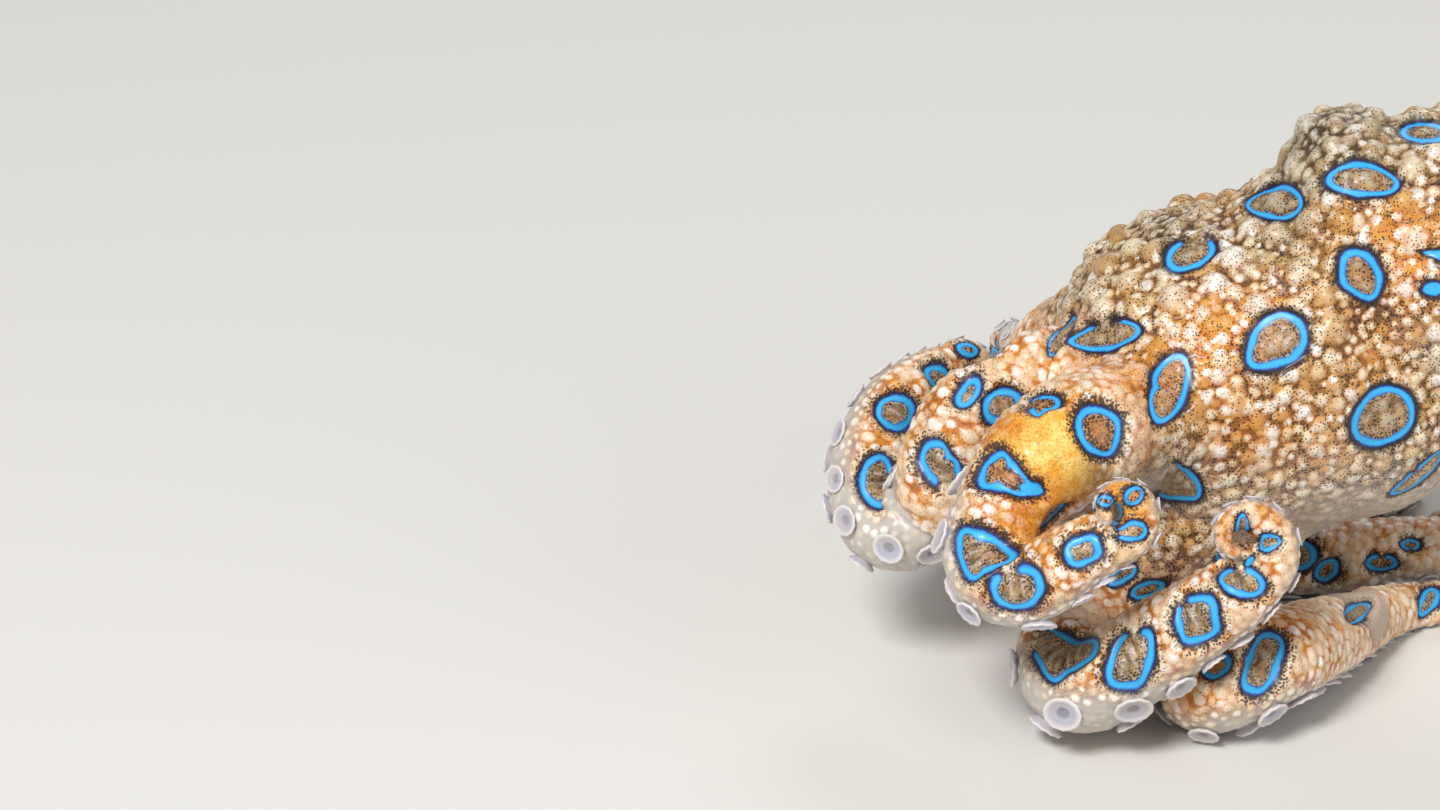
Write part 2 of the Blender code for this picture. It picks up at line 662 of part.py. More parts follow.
def main():
    """Build every part of the octopus."""
    clear_scene()
    parts = new_collection("blue_ringed_octopus")
    cutters = new_collection("cutters")
    rng = random.Random(8)
    skin = make_material("mottled_skin")
    gloss = make_material("eye_gloss")

    routes = [Route(arm) for arm in ARMS]
    finish(make_trunk(routes, parts, cutters), skin)
    finish([make_siphon(parts, cutters)], skin)
    eyes = [eyeball("eye_left", -1, EYE_RADIUS, parts), eyeball("eye_right", 1, EYE_RADIUS, parts)]
    finish(eyes, gloss)
    for route in routes:
        finish(make_arm(route, parts, cutters, rng), skin)
    stand_at_origin(parts)


main()
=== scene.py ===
"""The looks of a life-size blue-ringed octopus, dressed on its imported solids.

Lengths are millimetres in the design's own frame, in which the animal faces -X with its left
side towards -Y and stands on the plane Z = 0. Each piece is turned into metres as it is placed.
"""

import logging
import math
from dataclasses import dataclass, field
from enum import Enum, IntEnum

import bmesh
import bpy
import numpy as np
from mathutils import Matrix, Vector
from mathutils.bvhtree import BVHTree
from mathutils.kdtree import KDTree


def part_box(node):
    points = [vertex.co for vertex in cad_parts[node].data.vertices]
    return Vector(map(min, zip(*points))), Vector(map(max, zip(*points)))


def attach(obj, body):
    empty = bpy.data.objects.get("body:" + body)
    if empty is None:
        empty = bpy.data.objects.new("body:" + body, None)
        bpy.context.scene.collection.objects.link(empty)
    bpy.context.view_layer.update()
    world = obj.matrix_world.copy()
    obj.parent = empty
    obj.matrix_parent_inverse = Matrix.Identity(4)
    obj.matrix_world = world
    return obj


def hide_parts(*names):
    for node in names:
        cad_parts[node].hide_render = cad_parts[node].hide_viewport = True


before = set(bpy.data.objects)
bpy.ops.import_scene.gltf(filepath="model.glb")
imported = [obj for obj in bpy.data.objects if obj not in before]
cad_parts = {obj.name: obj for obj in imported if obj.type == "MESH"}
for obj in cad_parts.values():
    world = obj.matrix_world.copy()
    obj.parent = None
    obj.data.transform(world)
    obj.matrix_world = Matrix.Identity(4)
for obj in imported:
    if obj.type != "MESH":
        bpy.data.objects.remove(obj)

MM = 0.001
SEED = 11
Vec = tuple[float, float, float]
Colour = tuple[float, float, float, float]
Array = np.ndarray
log = logging.getLogger("octopus")


class Side(Enum):
    """A side of the animal, as the sign of Y there."""

    LEFT = -1
    RIGHT = 1


class RingForm(Enum):
    """The outline of a blue ring."""

    OVAL = "oval"
    DROP = "drop"
    TRIANGLE = "triangle"
    SQUARE = "square"
    KIDNEY = "kidney"
    BLOB = "blob"


class Tone(IntEnum):
    """What a soft patch does to the skin's colour or relief."""

    ORANGE = 0
    OLIVE = 1
    PALE = 2
    SMOOTH = 3


def paint(red: int, green: int, blue: int) -> Colour:
    """Turn a colour of 0 to 255 a channel into the linear values that a shader takes."""
    parts = [channel / 255.0 for channel in (red, green, blue)]
    linear = [p / 12.92 if p <= 0.04045 else ((p + 0.055) / 1.055) ** 2.4 for p in parts]
    return (*linear, 1.0)


def ease(value: Array, low: float, high: float) -> Array:
    """Rise smoothly from 0 at low to 1 at high, and return each value's share."""
    share = np.clip((value - low) / (high - low), 0.0, 1.0)
    return share * share * (3.0 - 2.0 * share)


def unit(vectors: Array) -> Array:
    """Scale vectors to a length of one."""
    return vectors / np.maximum(np.linalg.norm(vectors, axis=-1, keepdims=True), 1e-9)


def array_of(rows: bpy.types.bpy_prop_collection, name: str) -> Array:
    """Read a vector from each row of a mesh's data."""
    values = np.empty(len(rows) * 3)
    rows.foreach_get(name, values)
    return values.reshape(-1, 3)


def into_scene(name: str, data: bpy.types.ID) -> bpy.types.Object:
    """Make an object of a mesh, a lamp or a camera and link it to the scene."""
    item = bpy.data.objects.new(name, data)
    bpy.context.scene.collection.objects.link(item)
    return item


def search_tree(points: Array) -> KDTree:
    """Return a tree that finds points by their place."""
    tree = KDTree(len(points))
    for index, point in enumerate(points):
        tree.insert(point, index)
    tree.balance()
    return tree


@dataclass(frozen=True)
class DesignFrame:
    """The place of the design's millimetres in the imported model's metres."""

    eye: Vec = (18.5, 10.2, 37.6)

    def offset(self) -> Array:
        """Return where the design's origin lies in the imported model, from its two eyes and floor."""
        left, right = (np.mean(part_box(name), axis=0) for name in ("eye_left", "eye_right"))
        middle = (left + right) / 2
        return np.array([middle[0] - self.eye[0] * MM, middle[1], 0.0])

    def to_row(self, points: Array) -> Array:
        """Return design points as packed metres."""
        return np.asarray(points) * MM + self.offset()


@dataclass(frozen=True)
class PhotoCamera:
    """The camera that keeps the photograph's framing."""

    target: Vec = (-42.4, 0.0, 20.2)
    tilt: float = math.radians(25.0)
    distance: float = 400.0
    lens: float = 125.0
    sensor: float = 36.0
    width: int = 1440
    height: int = 810

    @property
    def right(self) -> Array:
        """The picture's right."""
        return np.array([1.0, 0.0, 0.0])

    @property
    def up(self) -> Array:
        """The picture's up."""
        return np.array([0.0, math.sin(self.tilt), math.cos(self.tilt)])

    @property
    def forward(self) -> Array:
        """The way the camera looks."""
        return np.array([0.0, math.cos(self.tilt), -math.sin(self.tilt)])

    @property
    def place(self) -> Array:
        """Where the camera stands."""
        return np.array(self.target) - self.forward * self.distance

    @property
    def pixels(self) -> float:
        """How many pixels wide a thing is that is as wide as its distance."""
        return self.lens / self.sensor * self.width

    def ray(self, px: float, py: float) -> Array:
        """Return the unit direction from the camera through a pixel of the photograph."""
        across = (px - self.width / 2) / self.pixels
        down = (py - self.height / 2) / self.pixels
        return unit(self.forward + self.right * across - self.up * down)

    def pixel(self, points: Array) -> Array:
        """Return the pixels at which points show."""
        away = points - self.place
        depth = away @ self.forward
        px = self.width / 2 + self.pixels * (away @ self.right) / depth
        py = self.height / 2 - self.pixels * (away @ self.up) / depth
        return np.stack([px, py], axis=-1)

    def build(self, design: DesignFrame) -> None:
        """Make the scene's camera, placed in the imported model."""
        data = bpy.data.cameras.new("photo_camera")
        data.lens = self.lens
        data.sensor_width = self.sensor
        data.clip_start = 0.01
        data.clip_end = 20.0
        camera = into_scene("photo_camera", data)
        turn = Matrix((self.right, self.up, -self.forward)).transposed().to_4x4()
        camera.matrix_world = Matrix.Translation(design.to_row(self.place)) @ turn
        bpy.context.scene.camera = camera


VIEW_TILT = math.radians(25.0)
FACING = (0.0, -math.cos(VIEW_TILT), math.sin(VIEW_TILT))
UP = (0.0, 0.0, 1.0)
ASIDE = (1.0, 0.0, 0.0)


@dataclass(frozen=True)
class Arm:
    """One arm: the points its middle line passes, then a flat coil at its tip.

    The girth gives the radius, and oral the direction of the sucker side, at shares of the arm's length.
    """

    name: str
    points: tuple[Vec, ...]
    girth: tuple[tuple[float, float], ...]
    turn: int
    coil_centre: Vec
    coil_axis: Vec
    coil_turns: float
    coil_inner: float
    root: float
    oral: tuple[tuple[float, Vec], ...]
    roll: float


ARMS = (
    Arm("arm_left_1",
        ((-2, -3, 25), (-11, -4.6, 25.6), (-17.9, -5.6, 24.7), (-22.1, -7, 22.9),
         (-24.3, -8.4, 20), (-25.6, -8.8, 16.5), (-27.2, -8.8, 13.7), (-29.3, -8, 13.1),
         (-30.7, -6.2, 14.8), (-30.6, -4.4, 17.8), (-29.1, -2.2, 20.4), (-26.5, 0.8, 21.8),
         (-24.1, 3.8, 22.1)),
        ((0, 4.1), (0.38, 3.8), (0.48, 3.55), (0.66, 3.3), (0.77, 2.8), (0.85, 2.0), (0.92, 1.1),
         (1, 0.45)),
        -1, (-22.4, 6.2, 20), FACING, 0.8, 0.9, 15.0,
        ((0.25, (0.1, 0.5, -0.9)), (0.37, (0.1, 0.6, -0.7)), (0.43, (-0.3, 0.7, -0.6)),
         (0.48, (-0.7, 0.5, -0.2)), (0.53, (-0.3, -0.8, -0.5)), (0.57, (-0.4, -0.8, -0.5)),
         (0.6, (-0.8, -0.5, -0.2)), (0.63, (-0.9, -0.2, 0)), (0.67, (-0.9, 0, 0.1)),
         (0.73, (-0.8, 0.4, 0.2))),
        40.0),
    Arm("arm_left_2",
        ((-2, -6, 22), (-9, -11, 23.6), (-14.1, -14.6, 24.5), (-17.9, -17, 23.3),
         (-20.5, -19, 20.7), (-22.1, -21, 17.9), (-21.1, -23.6, 16.3), (-18, -25.2, 17.3),
         (-15.3, -25.8, 19.8), (-12.8, -25.2, 20.7)),
        ((0, 5.2), (0.34, 4.9), (0.43, 4.3), (0.5, 3.9), (0.65, 3.4), (0.73, 2.9), (0.81, 2.4),
         (0.87, 1.6), (0.93, 0.95), (1, 0.45)),
        1, (-12.6, -26.2, 23.7), FACING, 0.95, 0.8, 15.5,
        ((0.29, (-0.1, 0.1, -1)), (0.37, (0, 0.6, -0.8)), (0.44, (-0.5, 0.9, -0.1)),
         (0.52, (-0.9, 0.4, 0)), (0.56, (-0.9, -0.1, -0.4)), (0.6, (-0.6, -0.3, -0.7)),
         (0.64, (0.2, -0.3, -0.9)), (0.68, (0.5, -0.1, -0.9))),
        30.0),
    Arm("arm_left_3",
        ((-1, -6, 19), (-6.5, -9, 14), (-11.3, -9.4, 7.9), (-13.5, -12, 6.4),
         (-15.1, -14.8, 5.4), (-15.5, -17.6, 5.2), (-14.1, -20, 5.4), (-11, -21, 7.6),
         (-8.1, -21.4, 10), (-5.6, -22, 12.3), (-2.5, -22.2, 15), (-0.5, -22, 17.2)),
        ((0, 4.3), (0.35, 4.1), (0.56, 3.9), (0.63, 3.65), (0.755, 3.0), (0.83, 2.3), (0.885, 1.5),
         (0.94, 0.95), (1, 0.45)),
        1, (-2.8, -23.4, 19.7), FACING, 0.9, 0.7, 14.0,
        ((0.25, (0.4, 0.6, -0.7)), (0.33, (0, 0.3, -0.9)), (0.39, (-0.4, -0.2, -0.9)),
         (0.44, (-0.8, -0.3, -0.4)), (0.48, (-0.6, -0.6, -0.5)), (0.52, (0, -0.7, -0.6)),
         (0.56, (0.3, -0.6, -0.8)), (0.62, (0.5, -0.2, -0.8)), (0.68, (0.7, 0, -0.8))),
        30.0),
    Arm("arm_left_4",
        ((0.5, -4.5, 14.5), (-1, -7, 10), (-3, -9.8, 6.6), (-5, -13.2, 3.5),
         (-3.8, -18.2, 4), (0.3, -17.6, 6.1), (3.7, -12.9, 5.2), (7.9, -6.2, 3.3),
         (12, -0.6, 1.9), (16.1, 1.6, 1.5), (19.7, 1, 1.6), (22.6, -0.8, 1.2)),
        ((0, 4.2), (0.2, 3.7), (0.4, 3.65), (0.52, 3.3), (0.6, 2.75), (0.7, 2.1), (0.8, 1.6),
         (0.9, 1.0), (1, 0.45)),
        -1, (22.4, -3.8, 1), UP, 0.8, 0.9, 13.5,
        ((0.18, (0.2, 0.6, -0.7)), (0.24, (-0.2, 0.1, -0.9)), (0.28, (0, -0.1, -1)),
         (0.31, (0.1, -0.4, -0.9)), (0.36, (0.3, -0.3, -0.9)), (0.42, (-0.1, 0, -1)),
         (0.6, (-0.2, 0, -1))),
        80.0),
    Arm("arm_right_1",
        ((-2, 3, 25), (-9.5, 6.5, 24), (-14, 11.5, 19.5), (-16.5, 15.5, 13), (-18, 18.5, 6.5),
         (-18.2, 22.5, 3.5), (-18, 27, 4.5), (-17.6, 29.6, 9)),
        ((0, 4.6), (0.3, 4.4), (0.5, 3.8), (0.65, 3.1), (0.8, 2.1), (0.9, 1.25), (1, 0.45)),
        1, (-17, 25.8, 11), ASIDE, 0.8, 0.9, 16.5,
        ((0.27, (0.2, -0.4, -1)), (0.46, (0, 0, -1))), 10.0),
    Arm("arm_right_2",
        ((-1, 6, 22), (-4.5, 12, 20), (-6, 17, 15), (-6.5, 20.5, 9), (-6.2, 24.5, 4),
         (-5.6, 29.5, 4), (-5, 33, 8.5)),
        ((0, 4.8), (0.3, 4.5), (0.5, 3.9), (0.65, 3.1), (0.8, 2.1), (0.9, 1.25), (1, 0.45)),
        1, (-4.6, 29.6, 10.8), ASIDE, 0.8, 1.0, 14.0,
        ((0.27, (0.2, -0.7, -0.7)), (0.44, (0, 0, -1))), 10.0),
    Arm("arm_right_3",
        ((1, 6, 18), (3, 11.5, 14.5), (3.8, 16.5, 9), (4, 21, 4.2), (6, 26, 3),
         (11, 28.8, 2.6), (15.6, 25.6, 2.0)),
        ((0, 4.6), (0.3, 4.4), (0.5, 3.8), (0.65, 3.1), (0.8, 2.1), (0.9, 1.25), (1, 0.45)),
        -1, (12, 23.4, 1.3), UP, 0.8, 0.9, 13.0,
        ((0.25, (0, -0.6, -0.8)), (0.36, (0, 0, -1))), 80.0),
    Arm("arm_right_4",
        ((2, 2, 15), (-2.5, 1.6, 10.5), (-6.8, 0, 7), (-10.8, 1.2, 4), (-12, 5.4, 3),
         (-9.2, 9.2, 3), (-4.5, 9.8, 3), (0.5, 8, 2.8), (6.2, 7, 2.8), (11, 7.2, 3.2),
         (15.6, 7.8, 3.4), (20, 10.2, 2.6), (22, 14.4, 1.6)),
        ((0, 4.2), (0.3, 4.0), (0.5, 3.7), (0.6, 3.3), (0.72, 2.7), (0.82, 2.0), (0.91, 1.2), (1, 0.45)),
        1, (19.2, 15.2, 1.2), UP, 0.8, 0.8, 11.5,
        ((0.16, (0.5, 0, -0.9)), (0.48, (0, 0, -1))), 80.0),
)


def smooth_line(points: list[Vec], steps: int) -> Array:
    """Return a fine smooth line through points (centripetal Catmull-Rom).

    Args:
        points: The points that the line passes.
        steps: How many stretches it has from one point to the next.

    Returns:
        The points of the fine line.
    """
    points = np.asarray(points, dtype=float)
    knots = np.vstack([2 * points[0] - points[1], points, 2 * points[-1] - points[-2]])
    line = []
    for a, b, c, d in zip(knots, knots[1:], knots[2:], knots[3:]):
        t1 = math.sqrt(np.linalg.norm(b - a))
        t2 = t1 + math.sqrt(np.linalg.norm(c - b))
        t3 = t2 + math.sqrt(np.linalg.norm(d - c))
        for t in np.linspace(t1, t2, steps, endpoint=False):
            ab = (a * (t1 - t) + b * t) / t1
            bc = (b * (t2 - t) + c * (t - t1)) / (t2 - t1)
            cd = (c * (t3 - t) + d * (t - t2)) / (t3 - t2)
            abc = (ab * (t2 - t) + bc * t) / t2
            bcd = (bc * (t3 - t) + cd * (t - t1)) / (t3 - t1)
            line.append((abc * (t2 - t) + bcd * (t - t1)) / (t2 - t1))
    line.append(points[-1])
    return np.array(line)


class Route:
    """The middle line of an arm, with its radius and oral side at any distance along it."""

    STEPS = 24
    FLAT_DEPTH = 0.35
    LIE_ROUNDING = 15
    SPLIT_REACH = 6.0
    SPLIT_WINDOW = 1.5
    COIL_STEP = math.radians(30.0)

    def __init__(self, arm: Arm) -> None:
        """Lay the line of one arm."""
        self.arm = arm
        self.line = smooth_line(list(arm.points) + self.coil_points(), self.STEPS)
        self.measure()
        self.lie_down()
        self.measure()
        coil = self.marks[self.STEPS * (len(arm.points) - 1)]
        self.coil_at = self.straightest(coil - self.SPLIT_REACH, coil + self.SPLIT_REACH / 2)

    def coil_points(self) -> list[Array]:
        """Return the points of the flat coil that the arm's tip ends in."""
        arm = self.arm
        centre, axis = np.array(arm.coil_centre, dtype=float), np.array(arm.coil_axis, dtype=float)
        reach = np.array(arm.points[-1], dtype=float) - centre
        rise = reach @ axis
        outward = reach - rise * axis
        radius = np.linalg.norm(outward)
        outward /= radius
        sideways = arm.turn * np.cross(axis, outward)
        whole = math.tau * arm.coil_turns
        coil = []
        for angle in np.arange(self.COIL_STEP, whole + 0.001, self.COIL_STEP):
            share = angle / whole
            bend = math.cos(angle) * outward + math.sin(angle) * sideways
            reach = radius + (arm.coil_inner - radius) * share
            coil.append(centre + axis * rise * (1 - share) + bend * reach)
        return coil

    def measure(self) -> None:
        """Note how far along the line each of its points is."""
        steps = np.linalg.norm(np.diff(self.line, axis=0), axis=1)
        self.marks = np.concatenate([[0.0], np.cumsum(steps)])
        self.length = self.marks[-1]

    def lie_down(self) -> None:
        """Lift what would sink, so that the arm lies on the floor on a narrow flat."""
        least = np.array([self.radius(mark) for mark in self.marks]) - self.FLAT_DEPTH
        height = np.maximum(self.line[:, 2], least)
        window = np.ones(self.LIE_ROUNDING) / self.LIE_ROUNDING
        padded = np.pad(height, self.LIE_ROUNDING // 2, mode="edge")
        self.line[:, 2] = np.maximum(np.convolve(padded, window, mode="valid"), least)

    def at(self, distance: float) -> Array:
        """Return the point at a distance along the line."""
        return np.array([np.interp(distance, self.marks, self.line[:, axis]) for axis in range(3)])

    def along(self, distance: float) -> Array:
        """Return the unit direction of the line there."""
        return unit(self.at(min(distance + 0.4, self.length)) - self.at(max(distance - 0.4, 0.0)))

    def straightest(self, low: float, high: float) -> float:
        """Return the distance between two others at which the line bends least."""
        spots = np.linspace(low, high, 40)
        window = self.SPLIT_WINDOW
        bends = [self.along(spot - window) @ self.along(spot + window) for spot in spots]
        return spots[int(np.argmax(bends))]

    def radius(self, distance: float) -> float:
        """Return the arm's radius there."""
        return float(np.interp(distance / self.length, *zip(*self.arm.girth)))

    def oral(self, distance: float) -> Array:
        """Return the unit direction of the sucker side there."""
        along = self.along(distance)
        axis = np.array(self.arm.coil_axis)
        roll = math.radians(self.arm.roll)
        outward = math.cos(roll) * self.arm.turn * np.cross(along, axis) - math.sin(roll) * axis
        shares, hints = zip(*self.arm.oral)
        share = distance / self.length
        hint = np.array([np.interp(share, shares, part) for part in zip(*hints)])
        blend = np.interp(share, (shares[-1], self.coil_at / self.length), (0.0, 1.0))
        side = unit(hint) * (1 - blend) + outward * blend
        return unit(side - along * (side @ along))

    def outward(self, distance: float, angle: float) -> Array:
        """Return the unit direction out of the arm there, at an angle from its sucker side."""
        oral = self.oral(distance)
        return math.cos(angle) * oral + math.sin(angle) * np.cross(self.along(distance), oral)

    def samples(self, spacing: float) -> dict[str, Array]:
        """Return the line's points, directions, radii and distances at an even spacing.

        Args:
            spacing: The distance from one sample to the next.

        Returns:
            The samples, as arrays by name.
        """
        spots = np.arange(0.0, self.length, spacing)
        along = np.array([self.along(spot) for spot in spots])
        oral = np.array([self.oral(spot) for spot in spots])
        return {
            "spot": spots,
            "point": np.array([self.at(spot) for spot in spots]),
            "along": along,
            "oral": oral,
            "side": np.cross(along, oral),
            "radius": np.array([self.radius(spot) for spot in spots]),
        }


class Forms:
    """Closed rough shapes that overlap, gathered in one mesh for a remesh to fuse."""

    ANGLES = np.linspace(0.0, math.tau, 32, endpoint=False)

    def __init__(self) -> None:
        """Start with nothing."""
        self.mesh = bmesh.new()

    def ball(self, centre: Vec, radii: Vec, tilt: float = 0.0) -> None:
        """Add a ball that is stretched to three radii and tilted about Y by degrees."""
        place = Matrix.Translation(centre) @ Matrix.Rotation(math.radians(tilt), 4, "Y")
        bmesh.ops.create_uvsphere(self.mesh, u_segments=48, v_segments=32, radius=1.0,
                                  matrix=place @ Matrix.Diagonal((*radii, 1.0)))

    def lathe(self, start: Vec, axis: Array, profile: list[tuple[float, float]]) -> None:
        """Add a turned shape that is closed at both ends of its profile.

        Args:
            start: The point that the profile's distances are measured from.
            axis: The unit direction that it is turned about.
            profile: Pairs of distance along the axis and radius.
        """
        turn = Vector(UP).rotation_difference(Vector(axis)).to_matrix()
        loops = []
        for height, radius in profile:
            spots = [Vector((radius * math.cos(a), radius * math.sin(a), height)) for a in self.ANGLES]
            loops.append([self.mesh.verts.new(Vector(start) + turn @ spot) for spot in spots])
        self.bridge(loops)

    def tube(self, route: Route, start: float, end: float, spacing: float, flat: float = 0.0) -> None:
        """Add a length of an arm, a little flattened on its sucker side.

        Args:
            route: The arm's middle line.
            start: Where the length starts along it.
            end: Where it ends.
            spacing: The distance from one section to the next.
            flat: The share by which the sucker side is flattened.
        """
        angles = self.ANGLES
        squash = 1.0 - flat * np.clip(np.cos(angles), 0.0, 1.0) ** 2
        loops = []
        for spot in np.linspace(start, end, max(3, round((end - start) / spacing))):
            oral = route.oral(spot)
            side = np.cross(route.along(spot), oral)
            radius = route.radius(spot) * squash
            ring = np.outer(np.cos(angles) * radius, oral) + np.outer(np.sin(angles) * radius, side)
            loops.append([self.mesh.verts.new(point) for point in route.at(spot) + ring])
        self.bridge(loops)

    def bridge(self, loops: list[list[bmesh.types.BMVert]]) -> None:
        """Join rings of vertices into a closed skin."""
        for low, high in zip(loops, loops[1:]):
            for index in range(len(low)):
                after = (index + 1) % len(low)
                self.mesh.faces.new((low[index], low[after], high[after], high[index]))
        self.mesh.faces.new(tuple(reversed(loops[0])))
        self.mesh.faces.new(tuple(loops[-1]))

    def add(self, mesh: bpy.types.Mesh) -> None:
        """Add what another mesh holds."""
        self.mesh.from_mesh(mesh)

    def fused(self, name: str, voxel: float, rounding: int, finer: int = 0) -> bpy.types.Object:
        """Fuse everything into one rounded surface.

        Args:
            name: The name of the object.
            voxel: The grain of the remesh.
            rounding: How many passes of smoothing follow.
            finer: How many times the surface is subdivided at the end.

        Returns:
            The fused object, linked to the scene.
        """
        bmesh.ops.recalc_face_normals(self.mesh, faces=self.mesh.faces)
        rough = bpy.data.meshes.new(name)
        self.mesh.to_mesh(rough)
        self.mesh.free()
        item = into_scene(name, rough)
        remesh = item.modifiers.new("fuse", "REMESH")
        remesh.mode = "VOXEL"
        remesh.voxel_size = voxel
        smooth = item.modifiers.new("round", "SMOOTH")
        smooth.factor = 0.5
        smooth.iterations = rounding
        if finer:
            subdivide = item.modifiers.new("finer", "SUBSURF")
            subdivide.levels = finer
            subdivide.render_levels = finer
        graph = bpy.context.evaluated_depsgraph_get()
        mesh = bpy.data.meshes.new_from_object(item.evaluated_get(graph))
        bpy.data.objects.remove(item, do_unlink=True)
        bpy.data.meshes.remove(rough)
        return into_scene(name, mesh)


@dataclass(frozen=True)
class EyePlan:
    """The place and sizes of the eyes on their low mounds."""

    centre: Vec = (18.5, 10.2, 37.6)
    radius: float = 3.3
    tilt: float = math.radians(20.0)
    mound: Vec = (18.5, 8.0, 36.0)
    mound_radius: float = 5.6
    opening: tuple[float, float] = (2.75, 2.05)
    lid_height: float = 0.55
    lid_width: float = 0.75
    lids: tuple[float, float] = (1.6, 2.1)
    lid_edge: tuple[float, float] = (1.12, 1.4)
    lid_grain: tuple[float, float] = (1.3, 1.5)
    lid_rim: float = 1.18
    crease: tuple[float, float, float] = (1.75, 0.4, 0.28)
    mound_reach: float = 9.0
    bed_depth: float = 0.25
    bed_edge: float = 0.12

    def place(self, side: Side) -> Array:
        """Return the centre of one eye."""
        x, y, z = self.centre
        return np.array([x, side.value * y, z])

    def outward(self, side: Side) -> Array:
        """Return the way that one eye looks."""
        return np.array([0.0, side.value * math.cos(self.tilt), math.sin(self.tilt)])

    def reach(self, side: Side, points: Array) -> tuple[Array, Array]:
        """Measure points from one eye.

        Args:
            side: The eye's side.
            points: The points.

        Returns:
            How many times as far out as the lids' edge each point is, and whether it is on the mound.
        """
        level, rise, outward = self.axes(side)
        away = points - self.place(side)
        wide, tall = self.opening
        reach = np.hypot(away @ level / wide, away @ rise / tall)
        return reach, (np.linalg.norm(away, axis=1) < self.mound_reach) & (away @ outward > 0.0)

    def within(self, points: Array, near: float, far: float) -> Array:
        """Return 1 for points within near openings of an eye's middle, falling to 0 at far."""
        shares = []
        for side in Side:
            reach, on_mound = self.reach(side, points)
            shares.append(on_mound * ease(-reach, -far, -near))
        return np.maximum(*shares)

    def axes(self, side: Side) -> tuple[Array, Array, Array]:
        """Return the eye's unit directions: along the head, up the eye, and outward."""
        outward = self.outward(side)
        return np.array(ASIDE), unit(np.array(UP) - outward * outward[2]), outward


EYES = EyePlan()


@dataclass(frozen=True)
class SiphonPlan:
    """The siphon under the left of the neck."""

    root: Vec = (26.0, -2.5, 24.0)
    mouth: Vec = (17.8, -4.2, 15.4)
    root_radius: float = 3.2
    mouth_radius: float = 2.1
    bore: float = 1.35
    depth: float = 4.0

    @property
    def run(self) -> tuple[Array, float]:
        """The unit direction from root to mouth, and the distance."""
        run = np.array(self.mouth) - np.array(self.root)
        return unit(run), float(np.linalg.norm(run))

    def add_to(self, forms: Forms) -> None:
        """Add the siphon with its bore to a body's forms."""
        axis, length = self.run
        lip = self.mouth_radius
        profile = [(0.0, 0.02), (0.0, self.root_radius), (length * 0.6, lip * 1.15), (length * 0.9, lip),
                   (length, lip * 0.94), (length + 0.25, lip * 0.82), (length, self.bore),
                   (length - self.depth * 0.5, self.bore * 0.9), (length - self.depth, self.bore * 0.7),
                   (length - self.depth, 0.02)]
        forms.lathe(self.root, axis, profile)

    def cover(self, points: Array) -> Array:
        """Return how far each point belongs to the free end of the siphon, from 0 to 1."""
        axis, length = self.run
        away = points - np.array(self.root)
        along = away @ axis
        aside = np.linalg.norm(away - np.outer(along, axis), axis=1)
        free = ease(along, length * 0.35, length * 0.6)
        return free * ease(-aside, -self.root_radius - 0.8, -self.root_radius)


@dataclass(frozen=True)
class BodyPlan:
    """The rough shapes of mantle, head and arm crown, and the grain of the skin."""

    balls: tuple[tuple[Vec, Vec, float], ...] = (
        ((45.0, 0.0, 29.5), (20.5, 14.5, 13.5), 6.0),
        ((58.0, 0.0, 27.5), (10.0, 8.0, 7.5), 8.0),
        ((27.0, 0.0, 31.0), (12.0, 10.0, 11.0), 0.0),
        ((14.5, 0.0, 32.6), (12.0, 11.3, 12.2), 0.0),
        ((6.6, 0.0, 33.0), (6.3, 10.2, 12.3), 0.0),
        ((8.0, 0.0, 23.0), (11.0, 12.0, 11.5), 0.0),
        ((-3.0, 0.0, 22.6), (13.5, 14.5, 14.0), 0.0),
        ((3.0, 0.0, 24.6), (10.0, 13.6, 14.6), 0.0),
    )
    stump_spare: float = 2.5
    arm_sections: float = 0.7
    arm_flat: float = 0.1
    body_grain: float = 0.8
    body_rounding: int = 12
    skin_grain: float = 0.21
    skin_rounding: int = 10

    def build(self, routes: list[Route], siphon: SiphonPlan) -> bpy.types.Object:
        """Fuse body and arms into one smooth skin.

        Args:
            routes: The middle lines of the arms.
            siphon: The siphon.

        Returns:
            The smooth skin as an object, in design millimetres.
        """
        rough = Forms()
        for centre, radii, tilt in self.balls:
            rough.ball(centre, radii, tilt)
        for side in Side:
            x, y, z = EYES.mound
            rough.ball((x, side.value * y, z), (EYES.mound_radius,) * 3)
        for route in routes:
            rough.tube(route, 0.0, route.arm.root + self.stump_spare, self.body_grain)
        body = rough.fused("body", self.body_grain, self.body_rounding, finer=1)

        whole = Forms()
        whole.add(body.data)
        bpy.data.objects.remove(body, do_unlink=True)
        siphon.add_to(whole)
        for route in routes:
            whole.tube(route, 0.0, route.length, self.arm_sections, flat=self.arm_flat)
        return whole.fused("skin", self.skin_grain, self.skin_rounding)


